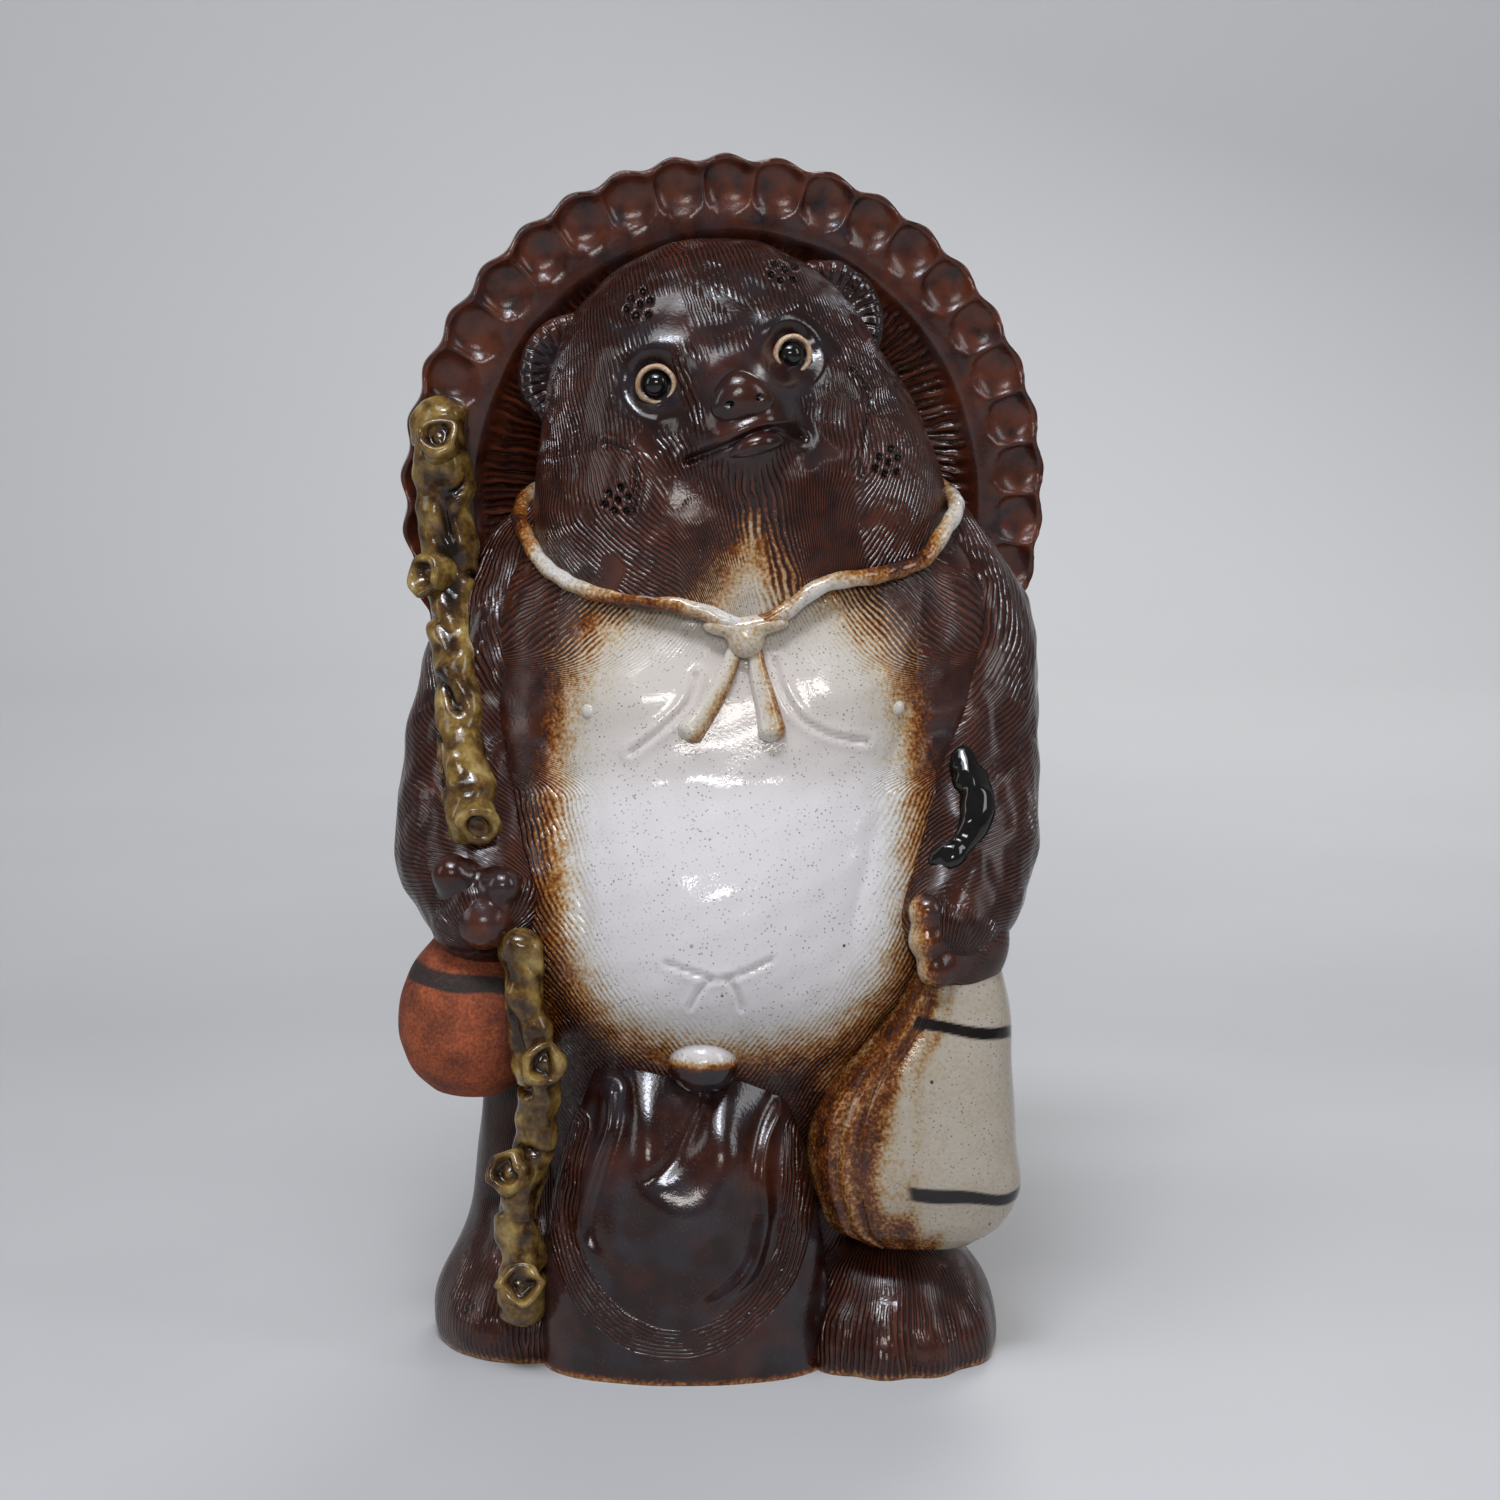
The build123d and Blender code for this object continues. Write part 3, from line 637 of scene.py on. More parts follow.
def buildHead():
    # an oval at every height, the face moved forwards and the lines, holes and mouth pressed into it
    h = np.linspace(head["levels"][0], head["levels"][-1], head["rows"])[:, None]
    spin = denseFront(head["cols"], head["frontCols"])
    half, front, back = sized(head, h, "half", "front", "back")
    x, y = half * np.cos(spin), np.where(np.sin(spin) < 0, front, back) * np.sin(spin)
    tall = h + 0 * x
    isFront = smoothStep(-2, -18, y)
    gapMouth = lineDistance(x, tall, drawnLine(head["mouth"]))
    y = y + (scored(gapMouth, *head["mouthCut"]) - headLift(x, tall)) * isFront
    local = xyz(x, y, tall)
    out = local - np.array([0, 0, 50])
    out /= np.linalg.norm(out, axis=-1)[..., None]
    local = local + (0.5 * handWobble(local, 30, 8) + 0.2 * handWobble(local, 11, 9))[..., None] * out
    grid = headPlace(local)
    # pricked holes and incised cheek lines, set out as seen from the front, with painted shade (dark) in them
    wx, wz = grid[..., 0], grid[..., 2]
    dip, dark = 0 * wx, 0 * wx
    for cx, cz in head["pricks"]:
        for dx, dz in head["prickSet"]:
            gap = np.hypot(wx - cx - dx, wz - cz - dz)
            dip = np.maximum(dip, 2.2 * np.exp(-(gap / 1.15) ** 4))
            dark = np.maximum(dark, smoothStep(1.5, 1.0, gap))
    for line in head["cheekLines"]:
        gap = lineDistance(wx, wz, drawnLine(line))
        dip += scored(gap, *head["cheekCut"])
        dark = np.maximum(dark, 0.7 * np.exp(-(gap / 0.9) ** 2))
    grid = grid + xyz(0, dip * isFront, 0)
    # the skin turns in under the cord
    tuck = smoothStep(1.0, -7.0, grid[..., 2] - cordHeight(grid[..., 0])) * smoothStep(8, -6, y)
    axis = np.array(head["place"][:2])
    grid[..., :2] = axis + (grid[..., :2] - axis) * (1 - 0.22 * tuck[..., None])
    # a pale pointed throat, smooth glaze with an uneven edge, and comb strokes that part at the nose
    throat = np.clip(0.62 * (299 - wz), 0, 21) - np.abs(wx - 12.5)
    edge = np.where((isFront > 0.5) & (wz < 300), 0.65 * throat - 1.5, noWhite)
    bare = np.maximum.reduce([hill(x, tall, *spot) for spot in head["bare"]]) * isFront
    bare = np.clip(bare * (1 + 0.45 * handWobble(local, 13, 10)), 0, 1)
    fur = smoothStep(12, 17, eyeGap(x, tall)) * smoothStep(17, 26, np.hypot(x, tall - 77))
    fur *= 1 - smoothStep(0.25, 0.75, bare)
    for u0, v0, ru, rv in head["tufts"]:
        fur = np.maximum(fur, np.exp(-((x - u0) / ru) ** 6 - ((tall - v0) / rv) ** 6) * isFront)
    aside = half * fromFront(spin)
    slope = 0.8 * np.clip(72 - tall, 0, 99) * smoothStep(6, 34, aside)
    flow = -(aside * (1 - 0.3 * smoothStep(75, 45, tall)) + slope) / head["combSpacing"]
    # pool: painted shadow along the mouth line, painted shade in the pricked holes and cheek lines, and a
    # darker thick glaze on the bare patches
    pool = np.maximum.reduce([0.6 * np.exp(-(gapMouth / 1.3) ** 2), dark, 0.5 * bare]) * isFront
    rust = 0.45 * smoothStep(80, 35, tall) + 0.35 * hill(x, tall, 0, 88, 9, 14)
    clayPiece("head", grid, glaze, "brown_glaze", ["head_front_shell", "head_back_shell"],
              whiteEdge=edge, comb=flow, fur=fur, pool=pool, rust=rust)


buildHead()
print("head done")


# face: eyes, nose, lip and ears are separate pellets of clay pressed on

face = {
    "ringRadius": 6.1, "ringProud": 1.7, "ringThick": (0.9, 1.2), "ballSize": (4.7, 4.3), "ballSunk": 0.4,
    "noseHeight": 80.5, "noseSunk": 4.6, "noseSize": (10.4, 6.6, 8.8),
    "nostrilAt": (5.2, -7.0, 79.0), "nostrilSize": (1.7, 3.2, 1.3),
    "lip": [(-7, 62.4, 1.3), (-3, 63.6, 3.0), (2, 64.2, 3.5), (7, 64.0, 3.0), (11, 62.6, 1.3)],
    "lipProud": 0.2,
    "ear": [(2, -4), (8, -4.6), (15, -5), (19.5, -4), (21.4, -1.2), (21.6, 1.2), (20.4, 3.6), (17.6, 4.6),
            (14.5, 3.4), (10, 1.6), (4, 0.8)],
    "earAt": (44.0, 2.0, 97.0), "earStrokes": 28,
}


def buildEyes():
    # a ring is a small oval turned about the line of sight, and its ball a half oval turned about the same
    for side, name in sides:
        x, h = side * head["eyeSpacing"] / 2, head["eyeHeight"]
        y = headFront(x, h)
        centre = headPlace(np.array([x, y, h]))
        ahead = headPlace(np.array([x + side * 0.2, y - 1, h - 0.05])) - centre
        t = np.linspace(0, turn, 28, endpoint=False)
        ring = np.stack([face["ringRadius"] + face["ringThick"][0] * np.cos(t),
                         face["ringProud"] + face["ringThick"][1] * np.sin(t)], axis=-1)
        grid, spin = turnedGrid(ring, 64, centre, ahead)
        grid = grid + 0.12 * handWobble(grid, 5, 20 + side)[..., None]
        # the ring is darker on its lower side
        low = smoothStep(0.5, -5.0, grid[..., 2] - centre[2])
        clayPiece(f"{name}EyeRing", grid, paleClay, "pale_clay", [f"{name}_eye_ring"],
                  ringRows=True, pool=0.35 * low)
        t = np.linspace(-np.pi / 2, np.pi / 2, 34)[1:-1]
        ball = np.stack([face["ballSize"][0] * np.cos(t),
                         face["ballSize"][1] * np.sin(t) - face["ballSunk"]], axis=-1)
        grid, spin = turnedGrid(ball, 48, centre, ahead)
        clayPiece(f"{name}Eyeball", grid, black, "black_glaze", [f"{name}_eyeball"])


def buildNoseAndLip():
    # the nose is cast from a field, and the lip is a roll along the face
    middle = face["noseHeight"]
    y = headFront(0.0, middle) + face["noseSunk"]

    def nostrils(p):
        # distance to the nearer of two small stretched balls
        nx, ny, nz = face["nostrilAt"]
        return np.minimum(*(ballDistance(p, (side * nx, y + ny, nz), face["nostrilSize"])
                            for side, name in sides))

    def noseField(p):
        # a rounded pad, wide below and narrow above, less two pricked nostrils
        wide = 1 - 0.035 * (p[..., 2] - middle)
        pad = ballDistance(xyz(p[..., 0] / wide, p[..., 1], p[..., 2]), (0, y, middle), face["noseSize"])
        return np.maximum(pad, -nostrils(p))

    grid = castSkin(noseField, (0, y, middle), unitBall(100, 150), 16)
    # the pad's glaze is darker all over, and painted shade darkens the nostrils
    clayPiece("nosePad", headPlace(grid), glaze, "brown_glaze", ["nose_pad"],
              pool=np.maximum(0.35, smoothStep(0.8, -0.2, nostrils(grid))))
    lip = [(x, headFront(x, h) - face["lipProud"], h, radius) for x, h, radius in face["lip"]]
    grid, s, spin = rollGrid(lip, 60, 40)
    clayPiece("lowerLip", headPlace(grid), glaze, "brown_glaze", ["lower_lip"])


def buildEars():
    # a dished disc, its profile turned about an axis that faces forwards, with short strokes across the rim
    # and painted shade in them
    profile = drawnLine(face["ear"], 60)
    ex, ey, ez = face["earAt"]
    for side, name in sides:
        grid, spin = turnedGrid(profile, 240, (side * ex, ey, ez), (side * 0.12, -1, 0.1))
        rim = np.hypot(grid[..., 0] - side * ex, grid[..., 2] - ez)
        cuts = smoothStep(0.45, 0.95, np.cos(np.abs(spin) * face["earStrokes"]))
        deep = cuts * smoothStep(12, 15, rim) * smoothStep(21.4, 20, rim) * (profile[:, 1:] > 1.5)
        grid = grid + 0.3 * handWobble(grid, 9, 30 + side)[..., None] + xyz(0, 0.9 * deep, 0)
        # pool here is painted shade in the cut strokes
        clayPiece(f"{name}Ear", headPlace(grid), glaze, "brown_glaze", [f"{name}_ear"], pool=0.6 * deep)


buildEyes()
buildNoseAndLip()
buildEars()
print("face done")


# hat: an oval dished cone facing forwards, its brim thumbed all round

hat = {
    "place": (4.8, 15.0, 296.0), "longRadius": 122.5, "shortRadius": 116.5,
    "roll": 20.0, "yaw": 12.0, "tilt": 8.0, "depth": 50.0, "thickness": 7.0, "rows": 60,
    "thumbs": 38, "thumbCols": 20, "thumbDepth": 3.6,
    "thumbMiddle": 0.925, "thumbReach": 0.085, "thumbPush": 0.16,
    "brim": 0.84, "ring": 0.79, "ribsPerThumb": 2.5, "strokes": 190,  # brim and ring as shares of the radius
}


def buildHat():
    # front: a dish that rises as a power of the radius, less the ring, plus thumb bowls
    # behind: a cone with a round tip
    t = np.linspace(0.02, 1, hat["rows"])[:, None]
    spin = spinAround(hat["thumbs"] * hat["thumbCols"])[None, :]
    thumb = spin / turn * hat["thumbs"]
    u = thumb % 1 - 0.5
    offThumb = ((t - hat["thumbMiddle"]) / hat["thumbReach"]) ** 2
    push = hat["thumbPush"] * (1 - offThumb)  # the far edge of a mark is a steep crescent
    across = np.where(u > push, (u - push) / (0.5 - push), (push - u) / (0.5 + push))
    bowl = np.clip(1 - np.abs(across) ** 2.4 - offThumb, 0, 1) ** 0.6
    rise = hat["depth"] * np.clip(1 - t / hat["brim"], 0, 1) ** 1.35
    ridge = 1.8 * np.exp(-((t - hat["ring"]) / 0.028) ** 2) + 0.6 * np.exp(-((t - 0.85) / 0.016) ** 2)
    weave = 0.5 * np.sin(turn * hat["ribsPerThumb"] * thumb)
    weave = weave * smoothStep(0.40, 0.5, t) * smoothStep(0.77, 0.74, t)
    front = rise - ridge + hat["thumbDepth"] * bowl - 1.2 * smoothStep(0.97, 1.0, t) * (1 - bowl) - weave
    tip = np.clip(1 - np.sqrt(t * t + 0.015) / hat["brim"], 0, 1)
    behind = hat["depth"] * tip + hat["thickness"] - 3.0 * smoothStep(0.9, 1.0, t)
    radius = t * (1 + 0.010 * np.cos(turn * u) * smoothStep(0.93, 1.0, t))  # the rim swells between the marks
    wide, high = hat["shortRadius"] * np.cos(spin), hat["longRadius"] * np.sin(spin)
    grid = np.concatenate([xyz(r * wide, deep, r * high)
                           for r, deep in ((radius, front), (radius[::-1], behind[::-1]))])
    grid = grid + xyz(0, 0.6 * handWobble(grid, 60, 40), 0)
    facing = turnAbout(2, hat["yaw"]) @ turnAbout(0, hat["tilt"]) @ turnAbout(1, hat["roll"])
    grid = grid @ facing.T + np.array(hat["place"])
    both = np.concatenate([t, t[::-1]])
    clayPiece("strawHat", grid, glaze, "brown_glaze", ["straw_hat"],
              comb=np.abs(spin) / turn * hat["strokes"],
              fur=0.8 * smoothStep(0.30, 0.45, both) * smoothStep(0.77, 0.74, both),
              rust=0.35 + 0.55 * smoothStep(0.80, 0.90, both))


buildHat()
print("hat done")


# arms and hands

hands = {
    "right": {"centre": (-80, -65, 166), "size": (16, 14, 15),
              "fingers": [(-71.5, -76, 172.5, 6.4), (-89, -73, 176, 6.8), (-78, -75, 160, 9.5)]},
    "left": {"centre": (84, -61, 151), "size": (17, 14, 20),
             "fingers": [(72, -72, 163, 6.4), (72, -73, 153, 6.4), (75, -73, 143, 6.2)]},
}


def fistField(p, centre, size, fingers):
    # a ball of clay with smaller balls pressed on for knuckles
    skin = ballDistance(p, centre, size)
    for x, y, z, radius in fingers:
        skin = blendMin(skin, np.linalg.norm(p - np.array([x, y, z], float), axis=-1) - radius, 4.5)
    return skin


def armFront(x, z):
    # y where the front of the left arm stands at x and z: the first trial point inside it, a little sunk
    trial = xyz(x, np.linspace(-95, -20, 600), z)
    skin = trial[np.argmax(rollDistance(trial, limbs["left"]) < 0)]
    return skin[1] + 3.0 - meltLift(bodyGap(skin), limbs["melt"])


def buildArms():
    # rolls that melt into the body, fists cast from a field, and a roll of black glaze laid on the left arm
    for side, name in sides:
        grid, s, spin = rollGrid(limbs[name], limbs["rows"], limbs["cols"])
        lift = 0.9 * handWobble(grid, 26, 50) + 0.3 * handWobble(grid, 9, 51)
        grid = lifted(grid, lift + meltLift(bodyGap(grid), limbs["melt"]))
        # strokes run down the shoulder, then turn in along the forearm
        phase = (24 * spin - side * (0.2 * s + 0.004 * s * s)) / limbs["combSpacing"]
        clayPiece(f"{name}Arm", grid, glaze, "brown_glaze", [f"{name}_arm"],
                  comb=phase, fur=1.0, whiteEdge=bellyWhite(grid) * 0.8 - 7, rust=0.1)
        hand = hands[name]
        fist = castSkin(partial(fistField, **hand), hand["centre"], unitBall(110, 170), 36)
        x, y, z = np.moveaxis(fist, -1, 0)
        if name == "left":  # white glaze ran over its finger tips
            edge, red = 3.5 - 1.4 * (x - 70) - 0.25 * (z - 150), 0.3
        else:  # its lower finger is thin and red
            edge, red = -5.5 - 0.5 * (z - 160), 0.1 + 0.7 * smoothStep(172, 158, z)
        clayPiece(f"{name}Hand", fist, glaze, "brown_glaze", [f"{name}_hand"],
                  whiteEdge=np.maximum(edge, noWhite), comb=(z + 0.4 * x) / limbs["fineSpacing"],
                  fur=0.9 * smoothStep(-76, -68, y), rust=red)
    pool, s, spin = rollGrid([(x, armFront(x, z), z, radius) for x, z, radius in limbs["drip"]], 90, 60)
    pool = pool + 0.7 * handWobble(pool, 9, 55)[..., None]
    clayPiece("runGlazePool", pool, black, "black_glaze")


buildArms()
print("arms done")


# sack, knob, feet and tail

sack = {
    "place": (-11.0, -64.0), "levels": [0, 27, 54, 81, 108], "half": [49, 50, 47, 41, 30],
    "front": [23, 27, 26, 20, 7], "back": [34, 34, 32, 30, 24], "rows": 200, "cols": 300,
    "ridges": [[(-35.8, 100.3), (-36.6, 89.6), (-41.2, 76.2), (-45.2, 62.7), (-46.0, 51.9), (-41.5, 43.8)],
               [(24.3, 95.6), (18.5, 85.6), (16.5, 73.5), (17.2, 60.0), (13.3, 43.8), (5.5, 34.3),
                (-1.7, 28.8)]],
    "ridgeRise": (2.8, 2.2, 1.0, 5.0, 2.4),  # as a groove's numbers, but raised
    "swells": [(-24, 88, 9, 17, 6.0), (4, 84, 10, 18, 6.5), (-11, 62, 19, 17, 6.0)],
    "fold": [(-4.5, 98.5), (-8.7, 88.1), (-15.1, 78.7), (-21.6, 72.7)],
    "border": [(-48.4, 87.7), (-51.8, 71.5), (-53.2, 56.7), (-47.5, 37.7), (-36.5, 24), (-23.4, 17.2),
               (-9, 15.6), (5.4, 21.3), (18.5, 33.6), (25, 45.8), (28.3, 64.8), (29.5, 86.3)],
    "borderSpacing": 1.5,
    "knobAt": (-4.0, 111.0), "knobSize": (12.0, 11.5, 10.5),
}


def buildSack():
    # half ovals in front and behind, moved forwards by swells and ridges, less a fold
    # the knob is a stretched ball
    z = np.linspace(sack["levels"][0], sack["levels"][-1], sack["rows"])[:, None]
    spin = spinAround(sack["cols"])[None, :]
    half, front, back = sized(sack, z, "half", "front", "back")
    x0, y0 = sack["place"]
    x, y = half * np.cos(spin) + x0, np.where(np.sin(spin) < 0, front, back) * np.sin(spin) + y0
    tall = z + 0 * x
    isFront = smoothStep(y0, y0 - 8, y)
    lift = hills(x, tall, sack["swells"])
    for ridge in sack["ridges"]:
        end = ridge[-1][1]
        gap = lineDistance(x, tall, drawnLine(ridge))
        lift += scored(gap, *sack["ridgeRise"]) * smoothStep(end - 3, end + 12, tall)
    gap = lineDistance(x, tall, drawnLine(sack["fold"]))
    lift -= 2.4 * np.exp(-(gap / 3.4) ** 2) * smoothStep(66, 80, tall)
    grid = xyz(x, y - lift * isFront, tall)
    grid[..., 1] -= 0.4 * handWobble(grid, 22, 60) * isFront
    gap = lineDistance(x, tall, drawnLine(sack["border"], 60))
    clayPiece("moneySack", grid, glaze, "brown_glaze", ["money_sack"], comb=gap / sack["borderSpacing"],
              fur=smoothStep(6.5, 5.0, gap), whiteEdge=bareFoot(tall))
    x, z = sack["knobAt"]
    knob = np.array([x, bodyFront(x, z + 1) + 2, z]) + unitBall(60, 90) * np.array(sack["knobSize"])
    clayPiece("sackKnob", knob, glaze, "white_glaze", ["sack_knob"], whiteEdge=(knob[..., 2] - z - 0.5) * 3.2)


feet = {
    "right": {"middle": (-66, -26, 24), "paw": ((-67, -30, 8), (33, 37, 25)),
              "shin": [(-66, -24, 14, 25), (-61, -17, 88, 23)], "flare": 22},
    "left": {"middle": (62, -38, 18), "paw": ((61, -37, 4), (39, 42, 41)), "toeSize": (10.2, 12.0, 15),
             "toeRing": (61, -38, 6, 31, 33), "toes": [-2.15, -1.65, -1.15, -0.62]},  # angles on the ring
    "tail": [(6, 62, 92, 12), (8, 82, 66, 20), (9, 88, 36, 21), (8, 80, 8, 15)],
}


def rightField(p):
    # a flat paw and the shin that flares into it
    foot = feet["right"]
    return blendMin(ballDistance(p, *foot["paw"]), rollDistance(p, foot["shin"]), foot["flare"])


def leftField(p):
    # a domed paw with four toes round its front
    foot = feet["left"]
    paw = ballDistance(p, *foot["paw"])
    x, y, z, wide, deep = foot["toeRing"]
    for angle in foot["toes"]:
        toe = (x + wide * np.cos(angle), y + deep * np.sin(angle), z)
        paw = blendMin(paw, ballDistance(p, toe, foot["toeSize"]), 4.5)
    return paw


def buildFeet():
    # paws cast from their fields and cut level at the floor, and a tail that is one fat roll
    for name, field in (("right", rightField), ("left", leftField)):
        middle = feet[name]["middle"]
        grid = castSkin(field, middle, unitBall(160, 280), 110, 60)
        grid[..., 2] = np.maximum(grid[..., 2], 0.0)
        wobble = 0.5 * handWobble(grid, 20, 70) * smoothStep(0, 4, grid[..., 2])
        grid = grid + wobble[..., None] * np.array([0.5, 0.8, 0])
        x, y, z = np.moveaxis(grid, -1, 0)
        around = np.abs(np.arctan2(x - middle[0], -(y - middle[1])))
        clayPiece(f"{name}Foot", grid, glaze, "brown_glaze", [f"{name}_foot"],
                  comb=around * 36 / limbs["fineSpacing"], fur=0.9 * smoothStep(0, 3, z),
                  whiteEdge=bareFoot(z), rust=0.25)
    grid, s, spin = rollGrid(feet["tail"], 110, 110)
    grid[..., 2] = np.maximum(grid[..., 2], 0.0)
    clayPiece("brushTail", grid, glaze, "brown_glaze", ["tail"],
              comb=np.abs(spin) * 18 / limbs["fineSpacing"], fur=1.0, whiteEdge=bareFoot(grid[..., 2]))


buildSack()
buildFeet()
print("sack, feet and tail done")


# chin cord, its knot and tails, and the two beads

def jawFront(x, z):
    # y of whichever stands further forward under the cord, the chest or the jowl's oval
    middle, y, half, deep = cord["jowl"]
    jowl = y - deep * np.sqrt(np.clip(1 - ((x - middle) / half) ** 2, 0, 1))
    return np.minimum(bodyFront(x, z), jowl)


def cordLay(s, spin):
    # the twist of the roll: two low strands that change places once in every twist length
    return 0.06 * np.sin(2 * spin + s * turn / cord["twist"])


def buildCord():
    # rolls laid along the jaw and the chest, a knot cast from a field, and two stretched balls
    for side, name in sides:
        xs = np.array(cord[name]["along"])
        zs = cordHeight(xs)
        route = cord[name]["toHat"] + list(zip(xs, jawFront(xs, zs) + 0.4, zs))
        grid, s, spin = rollGrid([(*point, cord["radius"]) for point in route], 190, 40, cordLay)
        edge = 3.5 + 5 * np.sin(s / 11 + 1.5) + 3.0 * np.cos(spin + 1.2)
        clayPiece(f"{name}ChinCord", grid, glaze, "brown_glaze", [f"{name}_chin_cord"], whiteEdge=edge)
    kx, kz = cord["knot"]
    y = jawFront(kx + 0.5, kz + 2)

    def knotField(p):
        # a pointed pad hanging from two short lobes
        skin = ballDistance(p, (kx, y + 0.6, kz), cord["knotSize"])
        for dx, dz in cord["lobes"]:
            skin = blendMin(skin, ballDistance(p, (kx + dx, y + 1.4, kz + dz), cord["lobeSize"]), 3)
        return skin

    knot = castSkin(knotField, (kx, y, kz + 1), unitBall(70, 110), 22)
    clayPiece("cordKnot", knot, glaze, "white_glaze", ["cord_knot"], whiteEdge=8.0, rust=0.35)
    for side, name in sides:
        stations = [(x, bodyFront(x, z) - 1.4 - 0.25 * k, z, cord["tailRadius"] + 0.55 * k)
                    for k, (x, z) in enumerate(cord[name]["tail"])]  # thicker towards its end
        grid, s, spin = rollGrid(stations, 70, 40)
        clayPiece(f"{name}CordTail", grid, glaze, "white_glaze", [f"{name}_cord_tail"],
                  whiteEdge=9 + 7 * np.sin(spin), rust=0.35)
    for side, name in sides:
        x, z = cord[name]["bead"]
        grid = np.array([x, bodyFront(x, z) - 0.6, z]) + unitBall(24, 36) * np.array(cord["beadSize"])
        clayPiece(f"{name}Bead", grid, glaze, "white_glaze", ["chest_beads"], whiteEdge=12.0, rust=0.35)


buildCord()
print("cord done")


# what it carries: flask, book and staff

flask = {"place": (-87.0, -52.0, 96.0), "lean": (0.1, 0, 1), "levels": [0, 4, 14, 27, 40, 52, 60, 66],
         "radius": [12, 17.5, 23.8, 25.6, 23.3, 15.8, 11, 9.5], "band": 42.0, "bandHalf": 3.1}


def buildFlask():
    # a thrown profile turned about a leaning axis, with one plain brushed band in place of the painted mark
    h = np.linspace(flask["levels"][0], flask["levels"][-1], 130)
    profile = np.stack([*sized(flask, h, "radius"), h], axis=-1)
    grid, spin = turnedGrid(profile, 170, flask["place"], flask["lean"])
    grid = grid + 0.4 * handWobble(grid, 14, 80)[..., None] * np.array([1, 1, 0])
    off = np.abs(h[:, None] + 1.0 * handWobble(grid, 18, 81) - flask["band"])
    clayPiece("sakeFlask", grid, redClay, "red_clay", ["sake_flask"],
              pool=smoothStep(flask["bandHalf"] + 0.5, flask["bandHalf"] - 0.5, off))


book = {
    "deep": -56.0, "levels": [44, 48, 60, 82, 106, 125, 144], "middle": [70, 69.5, 70, 68, 73, 81, 84],
    "half": [20, 27, 35, 36, 29.5, 21, 14],
    "front": [17, 21, 25, 26, 22, 18, 13], "back": [17, 20, 23, 24, 22, 18, 13],
    "rows": 170, "cols": 260, "pageSpacing": 0.17,  # as a share of the half width
    "strokes": [(122, 2.4, 1.5, -0.62, -0.55), (66, 2.8, 1.8, -0.12, -0.04)],  # height, half widths, start
}


def buildBook():
    # a cushion of cubed ovals, bent along its levels, with page edges as ridges down one side
    z = np.linspace(book["levels"][0], book["levels"][-1], book["rows"])[:, None]
    spin = spinAround(book["cols"])[None, :]
    middle, half, front, back = sized(book, z, "middle", "half", "front", "back")
    cosine, sine = np.cos(spin), np.sin(spin)
    radius = (np.abs(cosine) ** 3 + np.abs(sine) ** 3) ** (-1 / 3)
    across = radius * cosine
    pages = 0.7 * np.cos((across + 0.48) * turn / book["pageSpacing"])
    pages = pages * smoothStep(-0.42, -0.50, across) * smoothStep(-1.0, -0.93, across)
    deep = np.where(sine < 0, front, back) + pages
    grid = xyz(middle + half * across, book["deep"] + deep * radius * sine, z)
    grid[..., :2] += 0.5 * handWobble(grid, 24, 90)[..., None]
    runs = 2.2 * np.sin(17 * across + 1.5 * handWobble(grid, 30, 92))  # amber runs down the left side
    edge = 20 * (across + 0.52) + runs - 0.7 * np.clip(62 - z, 0, 99) - 26 * np.clip(across - 0.85, 0, 1)
    wavy = z + 1.2 * handWobble(grid, 20, 91) + 3.0 * across
    brushed = sum(smoothStep(wide, narrow, np.abs(wavy - high)) * smoothStep(start, full, across)
                  for high, wide, narrow, start, full in book["strokes"])  # in place of the writing
    # pool: the face a little darker except at its left edge, painted shade in the grooves between the page
    # edges, and the brushed strokes
    pool = 0.25 * smoothStep(-0.7, -0.2, across) + 0.35 * smoothStep(-0.2, -0.6, pages)
    pool = np.clip(pool + 0.93 * brushed * smoothStep(0, 0.1, -sine), 0, 1)
    clayPiece("accountBook", grid, glaze, "white_glaze", ["account_book"],
              whiteEdge=np.clip(edge, 0.4 + 0.6 * runs, 10.5), rust=0.5, pool=pool)


staff = {
    "upper": [(-96, -17, 327, 10), (-94.3, -15, 302, 10), (-93.6, -16, 287, 9.4), (-93, -19, 273, 9),
              (-92.5, -26, 256, 8.2), (-89.4, -36, 237, 8.2), (-88.9, -44, 219, 8.6), (-85, -54, 204, 9.4),
              (-81, -61, 190, 9.2)],
    "lower": [(-66, -77, 152, 8.0), (-64.8, -77, 139, 7.4), (-61.4, -76, 112, 7.6), (-61, -73, 94.5, 7.0),
              (-64.5, -71, 73, 7.4), (-68, -70, 55.7, 7.4), (-67, -70, 33, 8.4), (-67, -69, 22, 8.6)],
    "stubs": [((-96, -25, 319.5), (-0.1, -1, 0.45)), ((-99, -24, 273), (-0.75, -0.8, 0.1)),
              ((-81, -67.5, 193), (0.3, -1, -0.25)), ((-58.5, -82, 112.5), (0.3, -1, 0.1)),
              ((-70, -77.5, 73), (-0.35, -1, 0.3)), ((-67, -77, 33), (0, -1, 0.25))],  # place and way
    "stub": [(1, -5), (6.3, -5), (7.4, -2), (7.4, 1), (7.6, 3), (7.0, 4.6), (5.4, 4.9), (4.0, 3.0),
             (2.8, 2.2), (1.0, 3.0)],
}


